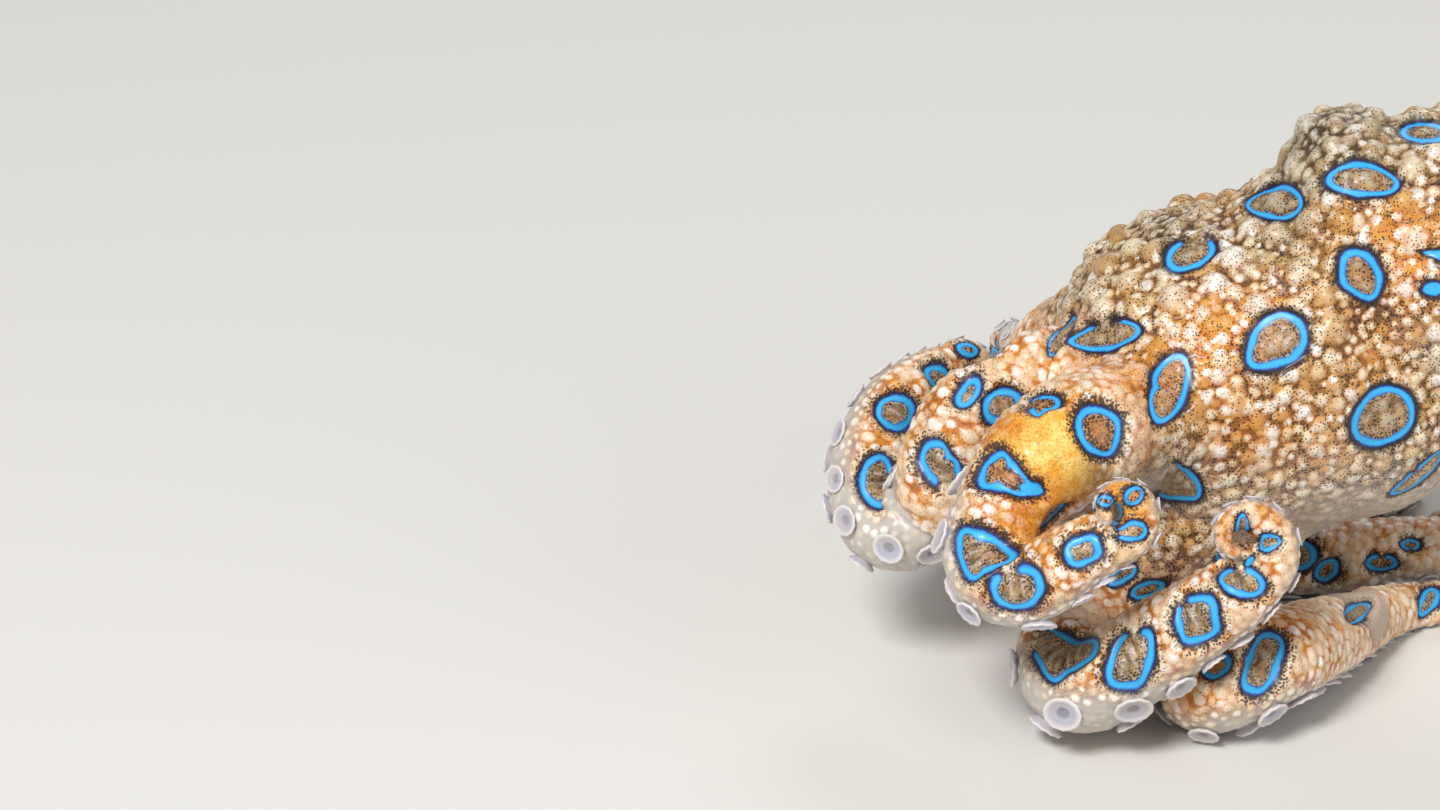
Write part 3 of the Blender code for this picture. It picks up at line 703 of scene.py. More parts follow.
class Surface:
    """The smooth skin as arrays, with the arm that each vertex belongs to."""

    SPACING = 0.3
    CHUNK = 20000
    DEPTH = (-2.0, -0.6)
    ROOT_BLEND = (-7.0, 1.0)
    ORAL = (0.05, 0.9)
    TURNED_AWAY = -0.6

    def __init__(self, item: bpy.types.Object, routes: list[Route]) -> None:
        """Read the skin's mesh and find the arm nearest to each vertex."""
        self.item = item
        self.routes = routes
        self.points = array_of(item.data.vertices, "co")
        self.normals = array_of(item.data.vertex_normals, "vector")
        self.tree = BVHTree.FromObject(item, bpy.context.evaluated_depsgraph_get())
        self.find_arms()

    def find_arms(self) -> None:
        """Find each vertex's arm, its distance along it and its angle from the sucker side."""
        parts = [route.samples(self.SPACING) for route in self.routes]
        stack = {name: np.concatenate([part[name] for part in parts]) for name in parts[0]}
        owner = np.concatenate([np.full(len(part["spot"]), i) for i, part in enumerate(parts)])
        samples = stack["point"].astype(np.float32)
        square = (samples ** 2).sum(axis=1)
        radius = stack["radius"].astype(np.float32)
        nearest = np.empty(len(self.points), dtype=int)
        for start in range(0, len(self.points), self.CHUNK):
            some = self.points[start:start + self.CHUNK].astype(np.float32)
            far = (some ** 2).sum(axis=1)[:, None] + square - 2 * some @ samples.T
            gap = np.sqrt(np.maximum(far, 0.0)) - radius
            nearest[start:start + self.CHUNK] = gap.argmin(axis=1)
        away = self.points - stack["point"][nearest]
        self.arm = owner[nearest]
        self.spot = stack["spot"][nearest] + (away * stack["along"][nearest]).sum(axis=1)
        up = (away * stack["oral"][nearest]).sum(axis=1)
        aside = (away * stack["side"][nearest]).sum(axis=1)
        self.arc = np.arctan2(-aside, -up) * stack["radius"][nearest]
        self.along = stack["along"][nearest]
        self.gap = np.hypot(up, aside) - stack["radius"][nearest]
        root = np.array([route.arm.root for route in self.routes])[self.arm]
        self.on_arm = ease(self.spot, 0.0, 1.0) * ease(-self.gap, *self.DEPTH)
        self.on_arm *= ease(self.spot - root, *self.ROOT_BLEND)
        self.thick = stack["radius"][nearest]
        self.oral = self.on_arm * ease(np.cos(np.arctan2(aside, up)), *self.ORAL)

    def hit(self, camera: PhotoCamera, px: float, py: float) -> tuple[Array, Array] | None:
        """Return the place and normal of the skin that shows at a pixel, or None."""
        return self.hit_from(camera.place, camera.ray(px, py))

    def hit_from(self, start: Array, direction: Array) -> tuple[Array, Array] | None:
        """Return the place and normal where a ray meets the skin, or None."""
        place, _, index, _ = self.tree.ray_cast(Vector(start), Vector(direction))
        if place is None:
            return None
        corners = self.item.data.polygons[index].vertices
        return np.array(place), unit(self.normals[list(corners)].mean(axis=0))

    def nearest_vertex(self, place: Array) -> int:
        """Return the index of a vertex next to a place on the skin."""
        _, _, index, _ = self.tree.find_nearest(Vector(place))
        return self.item.data.polygons[index].vertices[0]

    def unrolled(self, centre: Array, normal: Array, reach: float) -> tuple[Array, Array]:
        """Lay the skin round a place out flat.

        Args:
            centre: The place.
            normal: The skin's unit normal there.
            reach: How far from the place the skin is taken.

        Returns:
            The vertices within reach, and how far each is from the place along the skin, as vectors.
        """
        away = self.points - centre
        chord = np.linalg.norm(away, axis=1)
        near = np.flatnonzero((chord < reach) & (self.normals @ normal > self.TURNED_AWAY))
        own = self.nearest_vertex(centre)
        if self.on_arm[own] > 0.5:
            apart = np.abs(self.spot[near] - self.spot[own]) > reach
            other = (self.arm[near] != self.arm[own]) | apart
            near = near[~((self.on_arm[near] > 0.5) & other)]
        away = away[near]
        half = np.arccos(np.clip(self.normals[near] @ normal, -1.0, 1.0)) / 2
        stretch = half / np.maximum(np.sin(half), 1e-6)
        flat = away - np.outer(away @ normal, normal)
        flat = unit(flat) * (chord[near] * stretch)[:, None]
        return near, flat


@dataclass(frozen=True)
class Ring:
    """One blue ring: its pixel in the photograph, its size as it shows there, and half its band's width.

    Angles are degrees. The ring can be open by an angle, and a wart can stand in its middle.
    """

    px: float
    py: float
    long: float
    wide: float
    turn: float = 0.0
    band: float = 0.4
    form: RingForm = RingForm.OVAL
    open_at: float = 0.0
    open_by: float = 0.0
    wart: float = 0.0


OVAL, DROP, TRIANGLE, SQUARE, KIDNEY, BLOB = RingForm
SEEN_RINGS = tuple(Ring(*row) for row in (
    (1424, 132, 3.6, 2.1, 0, 0.34), (1363, 179, 6.2, 2.9, -8, 0.34, OVAL, 0, 0, 0.9),
    (1276, 203, 4.3, 2.9, 5, 0.32, OVAL, 0, 0, 1.0), (1190, 253, 4.2, 2.7, 25, 0.34, OVAL, 80, 110),
    (1106, 335, 5.5, 2.6, 12, 0.34, OVAL, 95, 120), (1022, 321, 4.1, 2.6, 25, 0.32, OVAL, -40, 120),
    (1060, 330, 3.6, 1.3, 45, 0.24, OVAL, -45, 170), (1434, 289, 1.9, 1.2, 0, 0.32, BLOB),
    (1360, 274, 4.3, 3.2, -60, 0.35, DROP), (1278, 340, 5.2, 4.0, 225, 0.37, DROP, 0, 0, 0.5),
    (1168, 389, 5.4, 3.2, 75, 0.35, KIDNEY), (1102, 428, 4.9, 3.6, -60, 0.37, DROP),
    (1383, 417, 5.4, 4.8, 20, 0.37, OVAL, 0, 0, 0.5), (1418, 476, 5.4, 1.6, 40, 0.32, OVAL, 130, 100),
    (1176, 483, 3.9, 3.4, -10, 0.34, TRIANGLE, 160, 150),
    # The upper arm on the left, out to where it turns away
    (1004, 407, 3.6, 3.3, 30, 0.4, OVAL, -50, 60), (1037, 397, 3.2, 2.0, 10, 0.34, TRIANGLE, 180, 90),
    (938, 465, 4.9, 3.4, -50, 0.4, KIDNEY, -70, 70), (899, 410, 4.1, 3.3, -22, 0.4),
    (879, 479, 4.4, 3.5, 75, 0.4, OVAL, 15, 40), (944, 376, 3.3, 2.1, -50, 0.4, OVAL, -75, 60),
    (966, 389, 3.1, 2.1, 60, 0.4, KIDNEY), (968, 349, 2.0, 1.4, -20, 0.3),
    # The second arm on the left, from its broad root to its curl
    (998, 471, 5.3, 3.5, -32, 0.42, TRIANGLE), (1034, 490, 2.3, 1.2, -18, 0.3, BLOB),
    (975, 551, 5.6, 4.3, 8, 0.42, TRIANGLE), (1014, 590, 4.6, 4.4, 90, 0.44, OVAL, 115, 70),
    (1083, 550, 3.3, 3.0, 20, 0.4, SQUARE), (1133, 531, 2.6, 1.9, -10, 0.27, OVAL, 180, 60),
    (1134, 496, 1.9, 1.4, 45, 0.2), (1105, 501, 1.7, 1.0, -10, 0.2),
    (1115, 517, 0.8, 0.6, 90, 0.15, BLOB), (1057, 519, 2.6, 0.9, 42, 0.25, OVAL, 130, 120),
    (1121, 575, 2.6, 1.7, 30, 0.32), (1149, 593, 3.0, 1.8, 15, 0.32),
    # The third arm on the left, round its bend to its curl
    (1055, 646, 6.2, 4.6, 0, 0.4, TRIANGLE, 150, 70), (1128, 660, 5.9, 3.7, 82, 0.42, SQUARE, 90, 40),
    (1195, 620, 4.5, 3.8, 100, 0.42, SQUARE, 130, 40), (1240, 580, 4.6, 2.7, -28, 0.36, OVAL, 100, 70),
    (1242, 527, 1.7, 1.2, 80, 0.22), (1267, 542, 2.2, 1.3, 12, 0.22, DROP), (1222, 555, 1.3, 1.1, 0, 0.2),
    (1246, 557, 1.0, 0.7, 60, 0.16, BLOB),
    # The lowest arm on the left, and the one behind it
    (1265, 659, 6.0, 3.3, 72, 0.42, SQUARE), (1213, 662, 2.8, 2.2, 30, 0.34, OVAL, 130, 150),
    (1361, 608, 3.5, 2.0, 20, 0.34), (1431, 600, 3.4, 1.8, 70, 0.36),
    (1291, 597, 2.6, 1.1, -5, 0.3, BLOB), (1328, 574, 2.7, 2.1, 65, 0.3),
    (1384, 566, 2.8, 2.0, -10, 0.28, OVAL, 90, 80), (1413, 543, 1.9, 1.4, 0, 0.24, OVAL, -90, 80),
))


# The soft patches of each tone: the pixel in the photograph, the radius and the strength
PATCHES: dict[Tone, tuple[tuple[float, float, float, float], ...]] = {
    Tone.ORANGE: (
        (1050, 435, 6.0, 1.0), (1030, 525, 3.5, 0.9), (1225, 330, 4.0, 0.8), (1195, 345, 3.0, 0.7),
        (1140, 375, 4.0, 0.7), (1285, 300, 2.5, 0.5), (1395, 235, 4.0, 0.8), (1430, 270, 4.0, 0.7),
        (1325, 225, 2.5, 0.5), (1370, 350, 4.0, 0.35), (1125, 500, 2.2, 1.0), (1243, 540, 2.0, 0.9),
        (1368, 545, 2.0, 0.9), (1225, 655, 2.5, 0.7), (1040, 370, 3.0, 0.6), (1230, 430, 5.0, 0.45),
        (1300, 450, 5.0, 0.4)),
    Tone.OLIVE: (
        (1100, 475, 2.2, 0.6), (1165, 225, 4.5, 0.6), (1235, 180, 5.0, 0.75), (1300, 145, 5.0, 0.75),
        (1370, 125, 6.0, 0.6), (1300, 225, 4.0, 0.5), (1080, 290, 3.5, 0.5), (1170, 452, 3.0, 0.5),
        (1150, 470, 2.5, 0.5)),
    Tone.PALE: (
        (870, 550, 4.0, 0.7),),
    Tone.SMOOTH: (
        (1055, 440, 4.5, 1.0), (1022, 432, 3.2, 1.0), (1070, 475, 3.2, 1.0), (1030, 525, 3.0, 0.8),
        (1125, 500, 2.0, 0.8), (1243, 540, 1.6, 0.7)),
}


class Markings:
    """The blue rings on the skin: those that the photograph shows, then the rest by rule."""

    MARGIN = 2.2
    PICTURE_MARGIN = 15
    GRAZING = 0.02
    LIFT = 0.25
    FAR = 9.0
    SWELL = 0.22
    LEAST_FACING = 0.35
    BODY_SPACING = 8.6
    ARM_SPACING = 1.5
    ARM_LEAN = 62.0
    ARM_ENDS = (-3.0, 1.0)
    ARM_RING = (1.05, 0.25)
    ARM_BAND = (0.055, 0.16)
    ARM_ROOM = 0.45
    OFF_ARM = 0.8
    BODY_RING = (5.2, 4.2)
    BODY_BAND = 0.36
    BODY_TRIES = 4000
    WART = 0.6
    WARTED = 0.4
    BELLY = -0.55
    SIPHON_ROOM = ((12.0, -9.0, -99.0), (30.0, 9.0, 25.0))
    EYE_ROOM = 3.6
    EYE_BARS = ((-1, 3.4), (1, 3.0))
    BAR_GAP = 2.6
    BAR_WIDTH = 1.1
    BAR_TURN = 8.0
    BAR_BAND = 0.34
    ABOVE = 8.0
    WAVES = (2, 3, 5, 8)
    WAVE = 0.1

    def __init__(self, surface: Surface, camera: PhotoCamera, rng: np.random.Generator) -> None:
        """Start with no rings.

        Args:
            surface: The skin.
            camera: The camera, for the rings placed by their pixel.
            rng: The source of small differences from ring to ring.
        """
        self.surface = surface
        self.camera = camera
        self.rng = rng
        count = len(surface.points)
        self.band = np.full(count, self.FAR)
        self.inside = np.zeros(count)
        self.reach = np.full(count, self.FAR)
        self.warts: list[tuple[Array, float]] = []
        self.places: list[tuple[Array, float]] = []

    def draw(self, ring: Ring, centre: Array, normal: Array, picture: Array) -> None:
        """Draw one ring on the skin.

        Args:
            ring: Its size and form.
            centre: Its centre.
            normal: The skin's normal there.
            picture: The two unit directions in which its turn and size are meant.
        """
        surface = self.surface
        first = unit(picture[0] - normal * (picture[0] @ normal))
        second = np.cross(normal, first)
        plane = picture @ np.stack([first, second], axis=1)
        left, sizes, right = np.linalg.svd(plane)
        plane = left @ np.diag(np.maximum(sizes, self.LEAST_FACING)) @ right
        back = np.linalg.inv(plane)
        widest = max(ring.long, ring.wide) / 2 / self.LEAST_FACING
        near, flat = surface.unrolled(centre, normal, min(widest, ring.long * 1.1) + self.MARGIN)
        shown = np.stack([flat @ first, flat @ second], axis=1) @ plane.T
        ray = unit(shown)
        angle = np.arctan2(*ray.T[::-1])
        around = angle - math.radians(ring.turn)
        radius = self.outline(ring, around)
        length = np.linalg.norm(ray @ back.T, axis=1)
        off = (np.linalg.norm(shown, axis=1) - radius) * length
        if ring.form is BLOB:
            off = np.maximum(off, 0.0)
        gap = np.abs((angle - math.radians(ring.open_at) + math.pi) % math.tau - math.pi)
        past = np.maximum(math.radians(ring.open_by) / 2 - gap, 0.0) * radius
        swell = 1.0 + self.SWELL * np.sin(2.0 * around + centre[0]) * np.sin(3.0 * around + centre[2])
        distance = np.hypot(off, past) / (ring.band * swell)
        self.band[near] = np.minimum(self.band[near], distance)
        self.inside[near] = np.maximum(self.inside[near], ease(-off, -0.05, 0.25))
        self.reach[near] = np.minimum(self.reach[near], np.maximum(off, 0.0))
        if ring.wart:
            self.warts.append((centre, ring.wart))
        self.places.append((centre, max(ring.long, ring.wide) / 2))

    def outline(self, ring: Ring, around: Array) -> Array:
        """Return a ring's radius at angles round it, to the middle of its band.

        Args:
            ring: Its size and form.
            around: The angles from its long axis.

        Returns:
            The radius at each angle.
        """
        a, b = max(ring.long / 2 - ring.band, 0.15), max(ring.wide / 2 - ring.band, 0.1)
        power = 3.2 if ring.form is SQUARE else 2.0
        reach = np.abs(np.cos(around) / a) ** power + np.abs(np.sin(around) / b) ** power
        radius = reach ** (-1 / power)
        wrapped = (around + math.pi) % math.tau - math.pi
        if ring.form is DROP:
            radius = radius * (1.0 + 0.22 * np.exp(-((wrapped / 0.4) ** 2)) - 0.06 * np.cos(2 * wrapped))
        if ring.form is TRIANGLE:
            radius = radius * 0.9 * (1.0 + 0.2 * np.cos(3 * wrapped) + 0.05 * np.cos(6 * wrapped))
        if ring.form is KIDNEY:
            radius = radius * (1.0 - 0.3 * np.exp(-(((wrapped - math.pi / 2) / 0.5) ** 2)))
        for waves in self.WAVES:
            swing = self.WAVE / waves * self.rng.uniform(-1.0, 1.0)
            radius = radius * (1.0 + swing * np.cos(waves * around + self.rng.uniform(0, math.tau)))
        return radius

    def draw_seen(self) -> None:
        """Draw the rings that the photograph shows."""
        picture = np.array([self.camera.right, self.camera.up])
        for ring in SEEN_RINGS:
            found = self.surface.hit(self.camera, ring.px, ring.py)
            if found is None:
                log.warning("no skin at ring %s, %s", ring.px, ring.py)
                continue
            self.draw(ring, *found, picture)

    def is_seen(self, place: Array, normal: Array) -> bool:
        """Tell whether the photograph shows a place on the skin."""
        px, py = self.camera.pixel(place)
        spare = self.PICTURE_MARGIN
        if not (-spare < px < self.camera.width + spare and 0 < py < self.camera.height):
            return False
        towards = unit(self.camera.place - place)
        if towards @ normal < self.GRAZING:
            return False
        start = place + normal * self.LIFT
        return self.surface.tree.ray_cast(Vector(start), Vector(towards))[0] is None

    def is_free(self, place: Array, reach: float) -> bool:
        """Tell whether no ring lies too near a place."""
        return all(np.linalg.norm(place - other) > reach + far for other, far in self.places)

    def draw_on_arms(self) -> None:
        """Draw a row of rings down each side of the arms wherever the photograph doesn't show them."""
        surface = self.surface
        for route in surface.routes:
            spot = route.arm.root + self.ARM_ENDS[0]
            row = 1
            while spot < route.length - self.ARM_ENDS[1]:
                radius = route.radius(spot)
                size = radius * self.ARM_RING[0] + self.ARM_RING[1]
                for lean in (row * self.ARM_LEAN, -row * self.ARM_LEAN):
                    along = route.along(spot)
                    out = route.outward(spot, math.radians(180.0 + lean))
                    found = surface.hit_from(route.at(spot) + out * (radius + 1.0), -out)
                    if found is None or np.linalg.norm(found[0] - route.at(spot)) > radius + self.OFF_ARM:
                        continue
                    if self.is_seen(*found) or not self.is_free(found[0], size * self.ARM_ROOM):
                        continue
                    form = SQUARE if self.rng.random() < 0.5 else OVAL
                    wide = size * self.rng.uniform(0.72, 0.95)
                    band = self.ARM_BAND[0] * radius + self.ARM_BAND[1]
                    ring = Ring(0, 0, size, wide, self.rng.uniform(-20, 20), band, form)
                    self.draw(ring, *found, np.array([along, np.cross(found[1], along)]))
                spot += size * self.ARM_SPACING
                row = -row

    def draw_on_body(self) -> None:
        """Draw rings over mantle and head, evenly apart, wherever the photograph doesn't show them."""
        surface = self.surface
        body = np.flatnonzero((surface.on_arm < 0.3) & (surface.points[:, 0] > -8.0))
        low, high = np.array(self.SIPHON_ROOM)
        for index in self.rng.permutation(body)[:self.BODY_TRIES]:
            place, normal = surface.points[index], surface.normals[index]
            siphon = np.all((place > low) & (place < high))
            from_eye = min(np.linalg.norm(place - EYES.place(side)) for side in Side) - EYES.radius
            bare = normal[2] < self.BELLY or siphon or from_eye < self.EYE_ROOM
            if bare or self.is_seen(place, normal):
                continue
            size = self.rng.uniform(0.85, 1.1)
            if not self.is_free(place, self.BODY_SPACING - self.BODY_RING[0] / 2):
                continue
            form = self.rng.choice([OVAL, DROP, KIDNEY])
            long, wide = (part * size for part in self.BODY_RING)
            ring = Ring(0, 0, long, wide, self.rng.uniform(0, 360), self.BODY_BAND, form,
                        wart=self.WART * float(self.rng.random() < self.WARTED))
            first = unit(np.cross(normal, (0.0, 0.3, 1.0)))
            self.draw(ring, place, normal, np.array([first, np.cross(normal, first)]))

    def draw_eye_lines(self) -> None:
        """Draw the short blue bars in front of and behind each eye."""
        for side in Side:
            level, rise, outward = EYES.axes(side)
            for ahead, bar in self.EYE_BARS:
                aside = level * ahead * (EYES.opening[0] + self.BAR_GAP)
                start = EYES.place(side) + aside + outward * self.ABOVE
                found = self.surface.hit_from(start, -outward)
                if found is None:
                    continue
                ring = Ring(0, 0, bar, self.BAR_WIDTH, self.BAR_TURN * ahead, self.BAR_BAND, BLOB)
                self.draw(ring, *found, np.array([level, rise]))


@dataclass(frozen=True)
class Papilla:
    """One kind of papilla: its usual radius, how far apart it stands, and its height per radius.

    It stands where its room, from 0 to 1, is over least_room. It is longer round an arm than along it,
    and brightest tells how pale the palest of the kind is.
    """

    radius: float
    spacing: float
    height: float
    least_room: float = 0.1
    length: float = 1.0
    brightest: float = 1.0


class Relief:
    """The papillae of the skin, its folds, and the lids round the eyes."""

    LARGE = Papilla(1.2, 2.4, 0.66, 0.45, brightest=0.85)
    MIDDLE = Papilla(0.68, 1.2, 0.45, 0.15, brightest=0.95)
    SMALL = Papilla(0.42, 0.74, 0.38)
    KNOB = Papilla(0.54, 0.86, 0.42, length=1.5)
    SIZES = (0.6, 1.25)
    TAKEN = 1.35
    FACING = 0.2
    WART_HEIGHT = 0.6
    WART_EDGE = 1.5
    SOFTENING = 2
    DENT = 0.65
    DENT_REACH = 1.3
    FOLD_DEPTH = (0.045, 0.075)
    VERTEX_AREA = 0.044
    SUCKER_SIDE_LESS = 0.55
    SMOOTH_LESS = 0.9
    BELLY_LESS = 0.7
    FLAT_BACK = 0.35
    THIN_ARM = 0.4
    CORES = (0.9, 0.6)
    LID_GRAIN = 0.7

    def __init__(self, surface: Surface, markings: Markings, rng: np.random.Generator) -> None:
        """Start with a smooth skin.

        Args:
            surface: The skin.
            markings: Its rings, which stay smooth.
            rng: The source of the papillae's places and sizes.
        """
        self.surface = surface
        self.markings = markings
        self.rng = rng
        count = len(surface.points)
        self.height = np.zeros(count)
        self.pearl = np.zeros(count)
        self.tint = np.full(count, 0.5)
        self.groove = np.zeros(count)
        self.tree = search_tree(surface.points)

    def scatter(self, allowed: Array, spacing: float) -> list[int]:
        """Pick vertices that keep a distance from one another.

        Args:
            allowed: The vertices that may be picked.
            spacing: The least distance between two.

        Returns:
            The picked vertices.
        """
        area = self.VERTEX_AREA * len(allowed)
        tries = min(len(allowed), int(area / spacing ** 2 * 8))
        some = self.rng.permutation(allowed)[:tries]
        places = self.surface.points[some]
        tree = search_tree(places)
        covered = np.zeros(len(some), dtype=bool)
        picked = []
        for order, place in enumerate(places):
            if covered[order]:
                continue
            picked.append(int(some[order]))
            covered[[other for _, other, _ in tree.find_range(place, spacing)]] = True
        return picked

    def raise_warts(self, seeds: list[int], kind: Papilla, room: Array) -> None:
        """Raise a rounded papilla at each seed, with creases where they meet.

        Args:
            seeds: The vertices at their middles.
            kind: Their sizes.
            room: How high papillae may rise at each vertex, from 0 to 1.
        """
        points, normals = self.surface.points, self.surface.normals
        first, second = np.full((2, len(points)), 2.0)
        size, tint = np.zeros((2, len(points)))
        for seed in seeds:
            own = kind.radius * self.rng.uniform(*self.SIZES)
            shade = self.rng.random() * kind.brightest
            found = self.tree.find_range(points[seed], own * self.TAKEN * kind.length)
            near = np.array([index for _, index, _ in found])
            away = np.array([distance for _, _, distance in found]) / own
            if kind.length > 1.0:
                gap = (points[near] - points[seed]) @ self.surface.along[seed] / own
                away = np.sqrt(gap ** 2 + np.maximum(away ** 2 - gap ** 2, 0.0) / kind.length ** 2)
            facing = normals[near] @ normals[seed] > self.FACING
            near, away = near[facing], away[facing]
            closer = away < first[near]
            behind = ~closer & (away < second[near])
            second[near[closer]] = first[near[closer]]
            first[near[closer]] = away[closer]
            size[near[closer]] = own
            tint[near[closer]] = shade
            second[near[behind]] = away[behind]
        profile = np.clip(1.0 - first ** 2, 0.0, 1.0) * ease(second - first, -0.05, 0.4)
        profile *= room
        rise = profile * size * kind.height
        higher = rise > self.height * 0.6
        self.tint = np.where(higher & (profile > 0.02), tint, self.tint)
        self.pearl = np.maximum(self.pearl, profile)
        self.height = np.maximum(self.height, rise) + 0.25 * np.minimum(self.height, rise)

    def raise_all(self, smooth: Array) -> None:
        """Raise the four kinds of papillae over the skin, and the warts inside rings.

        Args:
            smooth: Where the skin stays smooth, from 0 to 1.
        """
        surface = self.surface
        points, normals = surface.points, surface.normals
        dorsal = ease(normals[:, 2], 0.1, 0.75) * (1.0 - surface.on_arm)
        clear = ease(self.markings.band, 1.2, 2.3) * (1.0 - self.markings.inside)
        lids = EYES.within(points, *EYES.lids)
        base = clear * (1.0 - self.SUCKER_SIDE_LESS * ease(surface.oral, 0.8, 1.0))
        base *= 1.0 - self.SMOOTH_LESS * smooth
        base *= 1.0 - lids
        belly = ease(-normals[:, 2], 0.2, 0.8) * (1.0 - surface.on_arm)
        base *= 1.0 - self.BELLY_LESS * belly
        body = base * (1.0 - surface.on_arm)
        core = self.markings.inside * ease(self.markings.band, 1.6, 2.4) * (1.0 - surface.on_arm)
        grain = self.LID_GRAIN * clear * lids * (1.0 - EYES.within(points, *EYES.lid_grain))
        limb = base * ease(surface.on_arm, 0.5, 0.9)
        flank = limb * ease(surface.oral, 0.05, 0.35)
        limb *= 1.0 - flank
        limb *= self.THIN_ARM + (1.0 - self.THIN_ARM) * ease(surface.thick, 0.7, 2.4)
        middle_core, small_core = self.CORES
        for kind, room in ((self.LARGE, body * (self.FLAT_BACK + (1.0 - self.FLAT_BACK) * dorsal)),
                           (self.MIDDLE, np.maximum(body, middle_core * core)),
                           (self.SMALL, np.maximum.reduce([body, small_core * core, flank, grain])),
                           (self.KNOB, limb)):
            seeds = self.scatter(np.flatnonzero(room > kind.least_room), kind.spacing)
            log.info("papillae of %.1f mm: %d", kind.radius, len(seeds))
            self.raise_warts(seeds, kind, room)
        for place, radius in self.markings.warts:
            wart = Papilla(radius, 0.0, self.WART_HEIGHT)
            self.raise_warts([surface.nearest_vertex(place)], wart, self.markings.band > self.WART_EDGE)
        self.soften()
        self.fold(smooth)
        near_ring = (1.0 - ease(self.markings.reach, 0.0, self.DENT_REACH)) * surface.on_arm
        self.height -= self.DENT * near_ring * ease(surface.thick, 1.2, 2.6)

    def soften(self) -> None:
        """Even out the relief a little from each vertex to its neighbours."""
        mesh = self.surface.item.data
        ends = np.empty(len(mesh.edges) * 2, dtype=np.int32)
        mesh.edges.foreach_get("vertices", ends)
        first, second = ends[0::2], ends[1::2]
        count = len(self.height)
        links = np.bincount(first, minlength=count) + np.bincount(second, minlength=count)
        for _ in range(self.SOFTENING):
            total = np.bincount(first, self.height[second], count)
            total += np.bincount(second, self.height[first], count)
            self.height = 0.5 * self.height + 0.5 * total / np.maximum(links, 1)

    def fold(self, smooth: Array) -> None:
        """Press fine folds that run round the arms into their bare skin.

        Args:
            smooth: Where the skin stays smooth, from 0 to 1.
        """
        surface = self.surface
        sway = 0.5 * np.sin(surface.arc * 1.3 + surface.spot * 0.7)
        sway += 0.3 * np.sin(surface.arc * 2.9 + 1.0)
        wave = 0.7 * np.sin(math.tau * surface.spot / 1.0 + sway * 1.6)
        wave += 0.3 * np.sin(math.tau * surface.spot / 0.45 - sway * 2.0)
        bare = surface.on_arm * (1.0 - np.clip(self.pearl * 2.0, 0.0, 1.0)) * (1.0 - smooth)
        bare *= ease(self.markings.band, 1.0, 1.8) * ease(surface.thick, 0.6, 2.0)
        self.groove = wave * bare
        plain, more_inside = self.FOLD_DEPTH
        self.height += (plain + more_inside * self.markings.inside) * self.groove

    def carve_eyes(self, moved: Array) -> None:
        """Open the lids over the eyeballs and raise their rims.

        Args:
            moved: The skin's points, changed in place.
        """
        for side in Side:
            outward = EYES.outward(side)
            away = moved - EYES.place(side)
            tall = EYES.opening[1]
            reach, near = EYES.reach(side, moved)
            crease_at, crease_width, crease_depth = EYES.crease
            rim = near * np.exp(-(((reach - EYES.lid_rim) * tall / EYES.lid_width) ** 2))
            moved += (EYES.lid_height * rim)[:, None] * outward
            crease = near * np.exp(-(((reach - crease_at) * tall / crease_width) ** 2))
            moved -= (crease_depth * crease)[:, None] * outward
            inner = near & (reach < 1.0)
            target = EYES.place(side) + unit(away[inner]) * (EYES.radius - EYES.bed_depth)
            blend = ease(1.0 - reach[inner], 0.0, EYES.bed_edge)[:, None]
            moved[inner] = moved[inner] * (1 - blend) + target * blend

    def apply(self) -> None:
        """Move the skin's vertices."""
        moved = self.surface.points + self.surface.normals * self.height[:, None]
        self.carve_eyes(moved)
        moved[:, 2] = np.maximum(moved[:, 2], 0.0)
        self.surface.item.data.vertices.foreach_set("co", moved.ravel())


NUMBER = "NodeSocketFloat"
Socket = bpy.types.NodeSocket


